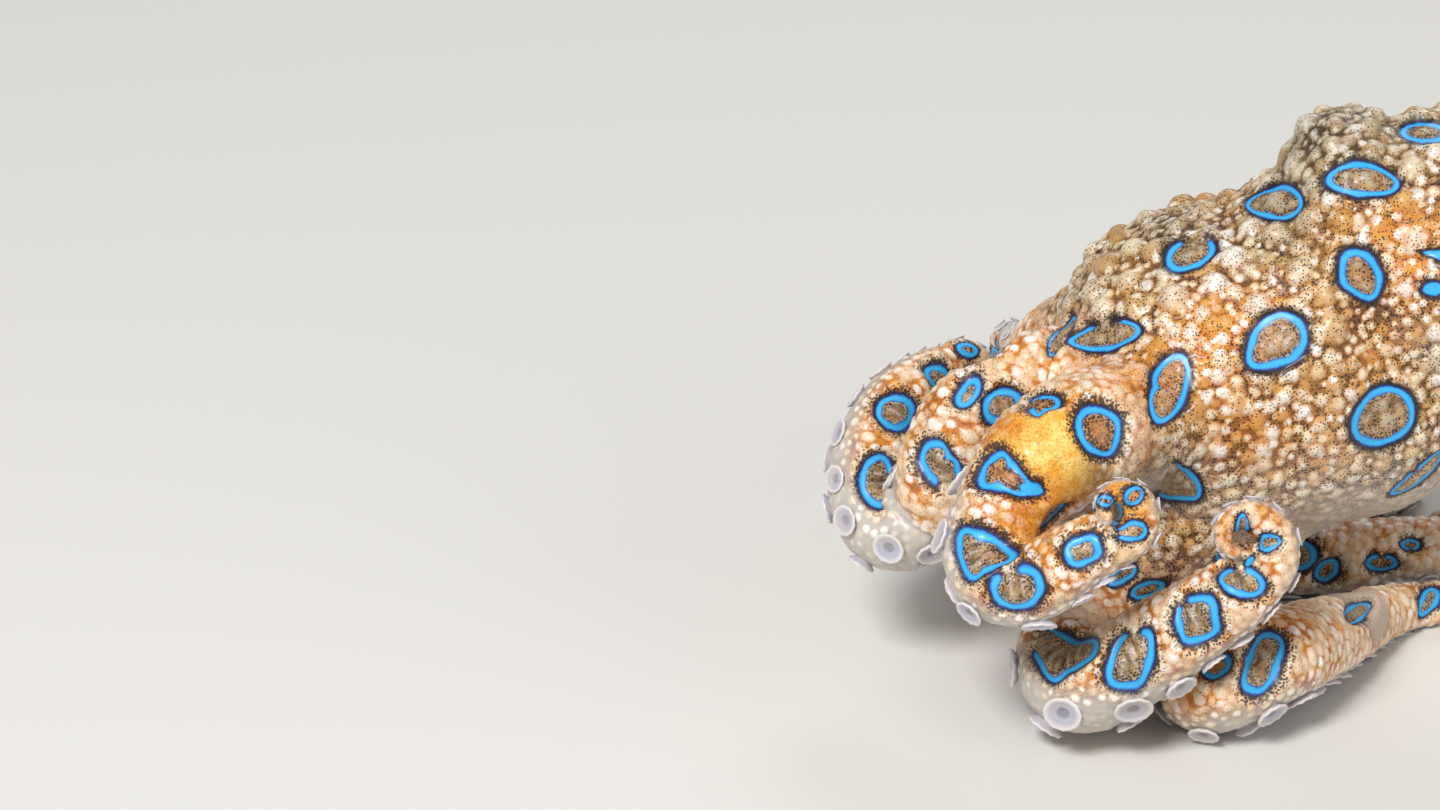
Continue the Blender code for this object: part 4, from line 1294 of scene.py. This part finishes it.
class Graph:
    """A node tree that is written a node at a time."""

    def __init__(self, tree: bpy.types.NodeTree) -> None:
        """Take the tree to write in."""
        self.tree = tree

    def feed(self, socket: Socket, value: object) -> None:
        """Link a socket to another, or set its value."""
        if isinstance(value, Socket):
            self.tree.links.new(value, socket)
        else:
            socket.default_value = value

    def feed_all(self, node: bpy.types.Node, **inputs: object) -> None:
        """Feed inputs of a node, each named with _ for a space."""
        for name, value in inputs.items():
            self.feed(node.inputs[name.replace("_", " ")], value)

    def node(self, kind: str, settings: dict | None = None, **inputs: object) -> bpy.types.Node:
        """Add a node.

        Args:
            kind: The node's type.
            settings: Properties of the node.
            inputs: Its inputs by name, with _ for a space, each a value or a socket to link.

        Returns:
            The node.
        """
        node = self.tree.nodes.new(kind)
        for name, value in (settings or {}).items():
            setattr(node, name, value)
        self.feed_all(node, **inputs)
        return node

    def math(self, operation: str, *values: object) -> Socket:
        """Add a Math node and return its result."""
        node = self.node("ShaderNodeMath", {"operation": operation})
        for socket, value in zip(node.inputs, values):
            self.feed(socket, value)
        return node.outputs[0]

    def times(self, first: object, *others: object) -> Socket:
        """Multiply values and return their product."""
        for other in others:
            first = self.math("MULTIPLY", first, other)
        return first

    def plus(self, first: object, *others: object) -> Socket:
        """Add values and return their sum."""
        for other in others:
            first = self.math("ADD", first, other)
        return first

    def between(self, value: object, low: float, high: object, to_low: float = 0.0,
                to_high: float = 1.0) -> Socket:
        """Ease a value from one range into another and return it."""
        return self.node("ShaderNodeMapRange", {"interpolation_type": "SMOOTHSTEP"}, Value=value,
                         From_Min=low, From_Max=high, To_Min=to_low, To_Max=to_high).outputs["Result"]

    def mix(self, share: object, a: object, b: object) -> Socket:
        """Mix two colours and return the result."""
        node = self.node("ShaderNodeMix", {"data_type": "RGBA"}, Factor=share)
        self.feed(node.inputs[6], a)
        self.feed(node.inputs[7], b)
        return node.outputs[2]

    def layers(self, colour: object, *coats: tuple[object, object]) -> Socket:
        """Lay coats over a colour, each a share and a colour, and return the result."""
        for share, coat in coats:
            colour = self.mix(share, colour, coat)
        return colour

    def attribute(self, name: str) -> Socket:
        """Read a number that the mesh holds."""
        return self.node("ShaderNodeAttribute", {"attribute_name": name}).outputs["Fac"]

    def channels(self, name: str) -> list[Socket]:
        """Read a colour that the mesh holds and return its three channels."""
        colour = self.node("ShaderNodeAttribute", {"attribute_name": name}).outputs["Color"]
        return list(self.node("ShaderNodeSeparateColor", None, Color=colour).outputs)

    def place(self) -> Socket:
        """Return the object's own coordinates."""
        return self.node("ShaderNodeTexCoord").outputs["Object"]

    def noise(self, scale: object, detail: float, **inputs: object) -> Socket:
        """Return a cloudy noise."""
        return self.node("ShaderNodeTexNoise", None, Vector=self.place(), Scale=scale, Detail=detail,
                         **inputs).outputs["Fac"]

    def cells(self, feature: str, scale: object, randomness: float = 1.0) -> Socket:
        """Return the distance to the nearest of many scattered points."""
        return self.node("ShaderNodeTexVoronoi", {"feature": feature}, Vector=self.place(), Scale=scale,
                         Randomness=randomness).outputs["Distance"]

    def group(self, group: bpy.types.NodeTree, **inputs: object) -> Socket:
        """Place a node group and return its only output."""
        return self.node("ShaderNodeGroup", {"node_tree": group}, **inputs).outputs[0]

    def bump(self, height: Socket, strength: float, distance: float) -> Socket:
        """Return normals that are roughened by a height."""
        return self.node("ShaderNodeBump", None, Strength=strength, Distance=distance,
                         Height=height).outputs["Normal"]


def new_group(name: str, inputs: dict[str, float], output: str) -> tuple[Graph, list[Socket], Socket]:
    """Start a shader node group of numbers.

    Args:
        name: The group's name.
        inputs: Each input's default by name.
        output: The name of its output.

    Returns:
        The group's graph, its inputs as sockets inside it, and the socket to feed as its output.
    """
    tree = bpy.data.node_groups.new(name, "ShaderNodeTree")
    for label, default in inputs.items():
        tree.interface.new_socket(label, in_out="INPUT", socket_type=NUMBER).default_value = default
    tree.interface.new_socket(output, in_out="OUTPUT", socket_type=NUMBER)
    source = tree.nodes.new("NodeGroupInput")
    sink = tree.nodes.new("NodeGroupOutput")
    return Graph(tree), [source.outputs[label] for label in inputs], sink.inputs[output]


class Effects:
    """The effects that more than one finish uses, each built once as a node group."""

    def __init__(self) -> None:
        """Build the groups."""
        self.dots = self.build_dots()
        self.mottle = self.build_mottle()
        self.grain = self.build_grain()

    @staticmethod
    def build_dots() -> bpy.types.NodeTree:
        """Build the pigment dots: small dark round spots, thinner in some places."""
        graph, (spacing, size), mask = new_group(
            "pigment_dots", {"Spacing mm": 0.34, "Size": 0.24}, "Mask")
        distance = graph.cells("F1", graph.math("DIVIDE", 1000.0, spacing), 0.85)
        limit = graph.times(size, graph.between(graph.noise(420.0, 2.0), 0.3, 0.6, 0.75, 1.15))
        graph.feed(mask, graph.between(graph.math("SUBTRACT", limit, distance), -0.02, 0.06))
        return graph.tree

    @staticmethod
    def build_mottle() -> bpy.types.NodeTree:
        """Build the mottle: soft clouds with a sharper or softer edge."""
        graph, (size, sharp), value = new_group(
            "soft_mottle", {"Size mm": 4.0, "Sharpness": 0.12}, "Value")
        clouds = graph.noise(graph.math("DIVIDE", 1000.0, size), 4.0, Roughness=0.6, Distortion=0.4)
        low = graph.math("SUBTRACT", 0.5, sharp)
        graph.feed(value, graph.between(clouds, low, graph.plus(0.5, sharp)))
        return graph.tree

    @staticmethod
    def build_grain() -> bpy.types.NodeTree:
        """Build the fine grain of wet skin, as a height."""
        graph, (size,), height = new_group("skin_grain", {"Size mm": 0.3}, "Height")
        scale = graph.math("DIVIDE", 1000.0, size)
        pits = graph.times(graph.cells("SMOOTH_F1", scale), -0.6)
        graph.feed(height, graph.plus(pits, graph.noise(scale, 3.0)))
        return graph.tree


def new_material(name: str, **constants: object) -> tuple[bpy.types.Material, Graph, bpy.types.Node]:
    """Start a material.

    Args:
        name: Its name.
        constants: Values of its Principled BSDF that are the same all over, with _ for a space.

    Returns:
        The material, its graph and its shader node.
    """
    material = bpy.data.materials.new(name)
    material.use_nodes = True
    graph = Graph(material.node_tree)
    shader = material.node_tree.nodes["Principled BSDF"]
    graph.feed_all(shader, **constants)
    return material, graph, shader


@dataclass(frozen=True)
class SkinPalette:
    """The colours of the skin."""

    tan: Colour = paint(178, 126, 56)
    gold: Colour = paint(206, 150, 66)
    brown: Colour = paint(120, 72, 30)
    # painted shade, laid in the creases between papillae and in the fold troughs inside rings
    painted_shade_umber: Colour = paint(78, 42, 16)
    orange: Colour = paint(216, 114, 20)
    yellow: Colour = paint(240, 164, 34)
    # painted highlight on the smooth patches
    painted_highlight_straw: Colour = paint(252, 214, 116)
    olive: Colour = paint(112, 106, 78)
    # the pale underside and sucker side, and also the painted highlight on the fold crests inside rings
    grey: Colour = paint(200, 195, 188)
    sand: Colour = paint(206, 172, 118)
    cream: Colour = paint(238, 222, 192)
    white: Colour = paint(251, 248, 242)
    blush: Colour = paint(232, 206, 172)
    dot: Colour = paint(24, 15, 10)
    azure: Colour = paint(52, 178, 232)
    deep: Colour = paint(22, 108, 198)
    navy: Colour = paint(12, 26, 92)
    night: Colour = paint(10, 8, 14)
    core: Colour = paint(184, 148, 96)
    core_dark: Colour = paint(108, 88, 60)
    rim: Colour = paint(184, 172, 150)


class SkinFinish:
    """The wet, pebbled skin with its blue rings."""

    def __init__(self, effects: Effects) -> None:
        """Start the material, and read what the mesh holds and the clouds that vary it."""
        self.ink = SkinPalette()
        self.effects = effects
        self.material, self.graph, self.shader = new_material(
            "mottled_skin", Subsurface_Weight=0.12, Subsurface_Scale=0.0006, Coat_Roughness=0.18,
            Specular_IOR_Level=0.5)
        self.orange, self.olive, self.pale = self.graph.channels("zones")
        self.pearl, self.tint, self.smooth = self.graph.channels("relief")
        self.band, self.inside, self.limb = self.graph.channels("rings")
        self.groove = self.graph.attribute("fold")
        self.broad = self.graph.group(effects.mottle, Size_mm=5.0, Sharpness=0.14)
        self.fine = self.graph.group(effects.mottle, Size_mm=1.0, Sharpness=0.18)
        self.clouds = self.graph.group(effects.mottle, Size_mm=2.2, Sharpness=0.08)

    def build(self) -> bpy.types.Material:
        """Build the material from its layers."""
        graph, between, times = self.graph, self.graph.between, self.graph.times
        streaks = times(self.limb, between(self.clouds, 0.0, 1.0, 0.68, 0.0),
                        between(self.smooth, 0.1, 0.5, 1.0, 0.0), between(self.pale, 0.2, 0.8, 1.0, 0.0))
        colour = graph.layers(
            self.skin_colour(), (streaks, self.ink.blush), (times(self.inside, 0.85), self.core_colour()),
            (self.dot_mask(), self.ink.dot))
        graph.feed_all(self.shader, Base_Color=self.ring_colour(colour),
                       Roughness=between(self.pearl, 0.0, 0.9, 0.56, 0.4),
                       Coat_Weight=between(self.broad, 0.0, 1.0, 0.12, 0.3),
                       Normal=graph.bump(graph.group(self.effects.grain, Size_mm=0.32), 0.5, 0.00006))
        return self.material

    def dot_mask(self) -> Socket:
        """Spread the dark dots, which crowd round rings, in creases and at the edges of smooth skin."""
        graph, between, times = self.graph, self.graph.between, self.graph.times
        crowd = between(graph.plus(self.band, times(self.inside, 4.0)), 1.6, 3.8, 0.14, 0.0)
        border = times(self.smooth, graph.math("SUBTRACT", 1.0, self.smooth))
        size = graph.plus(graph.math("MULTIPLY_ADD", border, 0.5, 0.31), crowd,
                          between(self.pearl, 0.0, 0.45, 0.08, 0.0))
        calm = times(self.limb, between(self.band, 2.0, 3.5))
        return times(graph.group(self.effects.dots, Spacing_mm=0.24, Size=size),
                     between(self.pale, 0.3, 1.0, 0.9, 0.1), between(calm, 0.0, 1.0, 1.0, 0.35),
                     between(times(self.pearl, self.tint), 0.35, 0.9, 1.0, 0.6))

    def ring_colour(self, colour: Socket) -> Socket:
        """Lay the blue bands, with a ragged dark edge, over the skin's colour and return the result."""
        graph, between, ink = self.graph, self.graph.between, self.ink
        ragged = graph.noise(4200.0, 3.0, Roughness=0.7)
        wobble = graph.plus(ragged, -0.5)
        edge = graph.plus(self.band, graph.times(wobble, between(self.limb, 0.0, 1.0, 3.0, 1.8)))
        outside = between(edge, 1.0, between(self.limb, 0.0, 1.0, 2.9, 2.0), 0.97, 0.0)
        within = between(edge, 0.85, 1.1, 0.8, 0.0)
        shadow = graph.mix(between(self.band, 0.95, 1.4), ink.navy, ink.night)
        blue = graph.layers(ink.azure, (between(self.band, 0.3, 0.75, 0.0, 0.85), ink.deep),
                            (between(ragged, 0.5, 0.75, 0.0, 0.35), ink.deep))
        steady = graph.plus(self.band, graph.times(wobble, 0.8))
        return graph.layers(colour, (graph.mix(self.inside, outside, within), shadow),
                            (between(steady, 0.7, 0.88, 1.0, 0.0), blue))

    def skin_colour(self) -> Socket:
        """Colour the skin between the rings, from its creases, which carry painted shade, to the tips of
        its papillae.
        """
        graph, between, times, ink = self.graph, self.graph.between, self.graph.times, self.ink
        gilt = times(between(self.smooth, 0.3, 1.0), between(self.broad, 0.1, 0.8, 0.35, 1.0))
        # painted highlight: pale straw spots on the smooth patches stand in for glints of light
        warm = graph.layers(
            ink.orange, (graph.math("MAXIMUM", times(self.fine, 0.8), gilt), ink.yellow),
            (times(self.fine, self.broad, self.smooth), ink.painted_highlight_straw))
        # painted shade: umber darkens the creases between papillae, where shade falls
        painted_crease_shade = times(between(self.pearl, 0.0, 0.36, 0.9, 0.0),
                        between(self.smooth, 0.1, 0.6, 1.0, 0.0),
                        between(graph.plus(self.pale, self.orange), 0.0, 0.9, 1.0, 0.35),
                        between(self.broad, 0.2, 0.9, 1.0, 0.65))
        ground = graph.layers(
            ink.brown, (self.broad, ink.tan), (times(self.fine, 0.6), ink.gold), (self.orange, warm),
            (self.olive, ink.olive), (painted_crease_shade, ink.painted_shade_umber), (times(self.pale, 0.85), ink.grey))
        golden = times(self.orange, between(self.tint, 0.1, 0.5, 0.7, 0.0))
        tip = graph.layers(
            ink.sand, (between(self.tint, 0.05, 0.5), ink.cream),
            (between(self.tint, 0.6, 0.95), ink.white), (golden, ink.yellow),
            (times(self.olive, 0.75), ink.rim))
        lit = times(between(self.pearl, 0.08, 0.95), between(self.tint, 0.0, 0.5, 0.5, 0.95),
                    between(self.fine, 0.0, 1.0, 0.7, 1.0))
        return graph.mix(lit, ground, tip)

    def core_colour(self) -> Socket:
        """Colour the skin inside the rings: a pale rim, a line of dots, a darker middle, and painted
        light and shade on its folds.
        """
        between, times, ink = self.graph.between, self.graph.times, self.ink
        beads = times(self.graph.group(self.effects.dots, Spacing_mm=0.2, Size=0.42),
                      between(self.band, 1.1, 1.25), between(self.band, 1.6, 1.8, 1.0, 0.0))
        return self.graph.layers(
            ink.core_dark, (self.fine, ink.core), (times(self.orange, 0.6), ink.orange),
            # painted highlight in grey on the fold crests, and painted shade in umber in the fold troughs
            (times(self.pearl, 0.75), ink.rim), (between(self.groove, 0.1, 0.9, 0.0, 0.55), ink.grey),
            (between(self.groove, -0.9, -0.2, 0.85, 0.0), ink.painted_shade_umber),
            (between(self.band, 0.9, 1.7, 0.8, 0.0), ink.rim), (beads, ink.dot))


@dataclass(frozen=True)
class SuckerFinish:
    """The pale suckers: lavender-grey, a little see-through, with painted shade in their cups."""

    rim: Colour = paint(222, 219, 222)
    disc: Colour = paint(182, 182, 196)
    # painted shade in the sucker cups
    painted_cup_shade: Colour = paint(146, 144, 160)
    stain: Colour = paint(216, 190, 146)

    def build(self, effects: Effects) -> bpy.types.Material:
        """Build the material from the shared node groups."""
        material, graph, shader = new_material(
            "sucker_flesh", Subsurface_Weight=0.3, Subsurface_Scale=0.0008, Coat_Roughness=0.15)
        cup = graph.attribute("cup")
        cloud = graph.group(effects.mottle, Size_mm=2.5, Sharpness=0.2)
        colour = graph.layers(
            self.disc, (graph.between(cup, 0.25, 0.42), self.rim),
            # painted shade darkens the sunken inner rows of each cup
            (graph.between(cup, 0.5, 0.64), self.disc), (graph.between(cup, 0.76, 0.9), self.painted_cup_shade),
            (graph.times(cloud, 0.25), self.stain))
        graph.feed_all(shader, Base_Color=colour, Roughness=graph.between(cloud, 0.0, 1.0, 0.34, 0.48),
                       Normal=graph.bump(graph.group(effects.grain, Size_mm=0.22), 0.35, 0.00004))
        return material


@dataclass(frozen=True)
class EyeFinish:
    """The glossy eye: a gold-brown iris with a dark level pupil."""

    gold: Colour = paint(226, 180, 74)
    rust: Colour = paint(104, 54, 22)
    pupil: Colour = paint(8, 6, 6)
    white: Colour = paint(214, 204, 188)

    def build(self, effects: Effects) -> bpy.types.Material:
        """Build the material from the shared node groups."""
        material, graph, shader = new_material(
            "eye_gloss", Roughness=0.1, Coat_Weight=1.0, Coat_Roughness=0.03)
        radial = graph.attribute("radial")
        cloud = graph.group(effects.mottle, Size_mm=0.5, Sharpness=0.2)
        flecks = graph.group(effects.dots, Spacing_mm=0.2, Size=0.3)
        slit = graph.between(graph.attribute("slit"), -0.03, 0.05, 1.0, 0.0)
        graph.feed_all(shader, Base_Color=graph.layers(
            self.rust, (cloud, self.gold), (graph.times(flecks, 0.7), self.pupil),
            (graph.between(radial, 1.6, 2.15), self.rust), (graph.between(radial, 2.6, 2.8), self.white),
            (slit, self.pupil)))
        return material


def write_values(mesh: bpy.types.Mesh, name: str, values: Array) -> None:
    """Give a mesh a number at each vertex."""
    layer = mesh.attributes.new(name, "FLOAT", "POINT")
    layer.data.foreach_set("value", values.astype(np.float32))


def write_colours(mesh: bpy.types.Mesh, name: str, *channels: Array) -> None:
    """Give a mesh three numbers at each vertex, as a colour."""
    layer = mesh.attributes.new(name, "FLOAT_COLOR", "POINT")
    stack = np.stack([*channels, np.ones(len(channels[0]))], axis=1).astype(np.float32)
    layer.data.foreach_set("color", stack.ravel())


def as_piece(item: bpy.types.Object, material: bpy.types.Material, slot: str, *nodes: str) -> None:
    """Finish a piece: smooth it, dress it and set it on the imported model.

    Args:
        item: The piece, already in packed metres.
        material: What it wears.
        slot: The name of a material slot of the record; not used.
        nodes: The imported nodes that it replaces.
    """
    item.data.materials.clear()
    item.data.materials.append(material)
    item.data.shade_smooth()
    if nodes:
        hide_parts(*nodes)
    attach(item, "root")
    log.info("%s: %d faces", item.name, len(item.data.polygons))


@dataclass
class Skin:
    """The one skin of body and arms."""

    routes: list[Route]
    camera: PhotoCamera
    design: DesignFrame
    body: BodyPlan = field(default_factory=BodyPlan)
    siphon: SiphonPlan = field(default_factory=SiphonPlan)
    name: str = "skin"
    arm_orange: float = 0.8
    arm_pearl: float = 0.25
    arm_tint: float = 0.2
    under_pale: float = 0.75
    siphon_pale: float = 0.7
    body_parts: tuple[str, ...] = ("mantle", "head", "crown", "siphon")
    arm_parts: tuple[str, ...] = ("upper", "middle", "tip")

    def patches(self, surface: Surface) -> Array:
        """Return how strongly each tone's patches show at each vertex.

        Args:
            surface: The skin.

        Returns:
            A row of shares for each tone.
        """
        shares = np.zeros((len(Tone), len(surface.points)))
        for tone, rows in PATCHES.items():
            for px, py, radius, strength in rows:
                found = surface.hit(self.camera, px, py)
                if found is None:
                    log.warning("no skin at patch %s, %s", px, py)
                    continue
                away = np.linalg.norm(surface.points - found[0], axis=1)
                share = strength * np.exp(-((away / radius) ** 2) * 1.2)
                shares[tone] = 1.0 - (1.0 - shares[tone]) * (1.0 - share)
        return shares

    def build(self, effects: Effects, rng: np.random.Generator) -> bpy.types.Object:
        """Build and dress the skin.

        Args:
            effects: The shared node groups.
            rng: The source of small differences.

        Returns:
            The piece.
        """
        item = self.body.build(self.routes, self.siphon)
        item.name = self.name
        surface = Surface(item, self.routes)
        log.info("smooth skin of %d vertices", len(surface.points))
        markings = Markings(surface, self.camera, rng)
        markings.draw_seen()
        markings.draw_eye_lines()
        markings.draw_on_arms()
        markings.draw_on_body()
        log.info("%d rings", len(markings.places))
        patches = self.patches(surface)
        bare = self.siphon.cover(surface.points)
        lids = EYES.within(surface.points, *EYES.lids) - EYES.within(surface.points, *EYES.lid_edge)
        patches[Tone.SMOOTH] = np.maximum.reduce([patches[Tone.SMOOTH], bare, lids])
        patches[Tone.PALE] = np.maximum(patches[Tone.PALE], self.siphon_pale * bare)
        relief = Relief(surface, markings, rng)
        relief.raise_all(patches[Tone.SMOOTH])
        relief.apply()
        self.colour(item.data, surface, markings, relief, patches)
        item.data.transform(Matrix.Translation(self.design.offset()) @ Matrix.Scale(MM, 4))
        lengths = [f"{route.arm.name}_{part}" for route in self.routes for part in self.arm_parts]
        as_piece(item, SkinFinish(effects).build(), "skin", *self.body_parts, *lengths)
        return item

    def colour(self, mesh: bpy.types.Mesh, surface: Surface, markings: Markings, relief: Relief,
               patches: Array) -> None:
        """Write what the skin's finish reads: its zones, its relief and its rings.

        Args:
            mesh: The skin's mesh.
            surface: The smooth skin.
            markings: The rings.
            relief: The papillae.
            patches: The patches' shares.
        """
        between = surface.on_arm * ease(markings.reach, 0.2, 0.9)
        orange = 1.0 - (1.0 - patches[Tone.ORANGE]) * (1.0 - self.arm_orange * between)
        under = ease(-surface.normals[:, 2], -0.15, 0.7) * (1.0 - surface.on_arm)
        pale = np.clip(surface.oral + self.under_pale * under + patches[Tone.PALE], 0.0, 1.0)
        write_colours(mesh, "zones", orange * (1.0 - pale), patches[Tone.OLIVE], pale)
        pearl = np.clip(relief.pearl * (1.0 + self.arm_pearl * surface.on_arm), 0.0, 1.0)
        tint = np.clip(relief.tint + self.arm_tint * surface.on_arm, 0.0, 1.0)
        write_colours(mesh, "relief", pearl, tint, patches[Tone.SMOOTH])
        write_values(mesh, "fold", relief.groove)
        write_colours(mesh, "rings", markings.band, markings.inside, surface.on_arm)


@dataclass
class Suckers:
    """The suckers in two staggered rows down each arm, as one joined mesh."""

    routes: list[Route]
    design: DesignFrame
    name: str = "suckers"
    share: float = 0.34
    spread: float = math.radians(30.0)
    step: float = 1.18
    least_step: float = 0.5
    first: float = 1.5
    last: float = 0.15
    least_cup: float = 0.1
    sunk: float = 0.9
    sides: int = 20
    profile: tuple[tuple[float, float], ...] = (
        (0.6, -0.8), (0.55, -0.35), (0.6, -0.08), (0.84, 0.1), (1.0, 0.22), (1.05, 0.31), (1.0, 0.38),
        (0.88, 0.36), (0.7, 0.28), (0.54, 0.25), (0.42, 0.25), (0.32, 0.17), (0.2, 0.1), (0.01, 0.12))
    flutes: int = 10
    flute_depth: float = 0.03

    def template(self) -> tuple[Array, Array, Array]:
        """Return the points, quads and profile shares of one sucker of radius one."""
        angles = np.linspace(0.0, math.tau, self.sides, endpoint=False)
        rows = []
        for radius, height in self.profile:
            flute = self.flute_depth * ease(radius, 0.5, 1.0) * np.cos(self.flutes * angles)
            across, aside = radius * np.cos(angles), radius * np.sin(angles)
            rows.append(np.stack([across, aside, height + flute], axis=1))
        points = np.concatenate(rows)
        quads = []
        for row in range(len(self.profile) - 1):
            for side in range(self.sides):
                after = (side + 1) % self.sides
                low, high = row * self.sides, (row + 1) * self.sides
                quads.append((low + side, low + after, high + after, high + side))
        shares = np.repeat(np.linspace(0.0, 1.0, len(self.profile)), self.sides)
        return points, np.array(quads), shares

    def spots(self, rng: np.random.Generator) -> list[tuple[Array, Array, float]]:
        """Return each sucker's root on the skin, its direction and its radius."""
        found = []
        for route in self.routes:
            distance = route.arm.root - self.first
            row = 1
            while distance < route.length - self.last:
                radius = route.radius(distance)
                cup = (radius * self.share + self.least_cup) * rng.uniform(0.9, 1.1)
                along = route.along(distance)
                out = route.outward(distance, self.spread * row + rng.uniform(-0.06, 0.06))
                root = route.at(distance) + out * (radius * self.sunk)
                tilt = out + along * rng.uniform(-0.16, 0.16)
                tilt += np.cross(along, out) * rng.uniform(-0.12, 0.12)
                found.append((root, unit(tilt), cup))
                distance += max(cup * self.step, self.least_step)
                row = -row
        return found

    def build(self, effects: Effects, rng: np.random.Generator) -> bpy.types.Object:
        """Build and dress the suckers.

        Args:
            effects: The shared node groups.
            rng: The source of small differences.

        Returns:
            The piece.
        """
        template, quads, shares = self.template()
        points, faces, values = [], [], []
        for root, direction, cup in self.spots(rng):
            turn = Vector(UP).rotation_difference(Vector(direction)).to_matrix()
            oval = np.array([1.0, rng.uniform(0.88, 1.0), 1.0])
            placed = root + (template * oval * cup) @ np.array(turn).T
            placed[:, 2] = np.maximum(placed[:, 2], 0.0)
            faces.append(quads + len(points) * len(template))
            points.append(placed)
            values.append(shares)
        mesh = bpy.data.meshes.new(self.name)
        every = self.design.to_row(np.concatenate(points))
        mesh.from_pydata(every.tolist(), [], np.concatenate(faces).tolist())
        write_values(mesh, "cup", np.concatenate(values))
        item = into_scene(self.name, mesh)
        as_piece(item, SuckerFinish().build(effects), "skin")
        return item


@dataclass
class Eyeball:
    """One eyeball, a round ball with its level pupil."""

    side: Side
    design: DesignFrame
    pupil: tuple[float, float] = (1.45, 0.36)
    droop: float = 0.12
    waist: float = 0.72
    flare: float = 0.5

    def build(self, material: bpy.types.Material) -> bpy.types.Object:
        """Build and dress the eyeball.

        Args:
            material: The eye's finish.

        Returns:
            The piece.
        """
        form = bmesh.new()
        bmesh.ops.create_uvsphere(form, u_segments=72, v_segments=48, radius=EYES.radius)
        mesh = bpy.data.meshes.new(f"eyeball_{self.side.name.lower()}")
        form.to_mesh(mesh)
        form.free()
        across, up, out = array_of(mesh.vertices, "co").T
        radial = np.where(out > 0, np.hypot(across, up), EYES.radius)
        long, tall = self.pupil
        bow = (across / long) ** 2
        droop = up + self.droop * bow
        narrow = tall * (self.waist + self.flare * bow)
        slit = np.maximum(np.abs(across) - long, np.abs(droop) - narrow)
        slit = np.where(out > 0, slit, 1.0)
        write_values(mesh, "slit", slit)
        write_values(mesh, "radial", radial)
        level, rise, outward = EYES.axes(self.side)
        centre = self.design.to_row(EYES.place(self.side))
        turn = Matrix((level * self.side.value, rise, outward)).transposed()
        mesh.transform(Matrix.Translation(centre) @ turn.to_4x4() @ Matrix.Scale(MM, 4))
        item = into_scene(mesh.name, mesh)
        as_piece(item, material, "eye", f"eye_{self.side.name.lower()}")
        return item


@dataclass(frozen=True)
class Studio:
    """A plain pale floor under soft light."""

    floor_size: float = 6.0
    floor: Colour = paint(222, 219, 213)
    sky: Colour = paint(235, 238, 242)
    sky_strength: float = 0.35
    aim: Vec = (0.0, 0.0, 0.02)
    lamps: tuple[tuple[str, Vec, float, float], ...] = (
        ("key_lamp", (-0.25, -0.45, 0.55), 0.22, 4.8),
        ("fill_lamp", (0.5, -0.35, 0.35), 0.4, 0.9),
        ("back_lamp", (0.1, 0.5, 0.45), 0.3, 0.9))

    def build_floor(self) -> None:
        """Lay the floor."""
        mesh = bpy.data.meshes.new("floor")
        form = bmesh.new()
        bmesh.ops.create_grid(form, x_segments=2, y_segments=2, size=self.floor_size / 2)
        form.to_mesh(mesh)
        form.free()
        material, _, _ = new_material("pale_floor", Roughness=0.75, Base_Color=self.floor)
        mesh.materials.append(material)
        into_scene("floor", mesh)

    def lamp(self, name: str, place: Vec, size: float, power: float) -> None:
        """Hang one soft lamp.

        Args:
            name: Its name.
            place: Where it hangs, in metres.
            size: How wide it is, in metres.
            power: Its power in watts.
        """
        data = bpy.data.lights.new(name, "AREA")
        data.shape = "DISK"
        data.size = size
        data.energy = power
        item = into_scene(name, data)
        item.location = place
        item.rotation_euler = (Vector(self.aim) - Vector(place)).to_track_quat("-Z", "Y").to_euler()

    def build(self) -> None:
        """Set up floor, lamps and sky."""
        self.build_floor()
        for lamp in self.lamps:
            self.lamp(*lamp)
        world = bpy.data.worlds.new("studio_sky")
        world.use_nodes = True
        sky = world.node_tree.nodes["Background"]
        sky.inputs["Color"].default_value = self.sky
        sky.inputs["Strength"].default_value = self.sky_strength
        bpy.context.scene.world = world
        bpy.context.scene.view_settings.view_transform = "Standard"


def main() -> None:
    """Build every piece of the octopus, its camera and its studio."""
    logging.basicConfig(level=logging.INFO, format="%(name)s %(relativeCreated)d %(message)s")
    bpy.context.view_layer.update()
    design = DesignFrame()
    camera = PhotoCamera()
    camera.build(design)
    Studio().build()
    rng = np.random.default_rng(SEED)
    effects = Effects()
    routes = [Route(arm) for arm in ARMS]
    Skin(routes, camera, design).build(effects, rng)
    Suckers(routes, design).build(effects, rng)
    gloss = EyeFinish().build(effects)
    for side in Side:
        Eyeball(side, design).build(gloss)


if __name__ == "__main__":
    main()
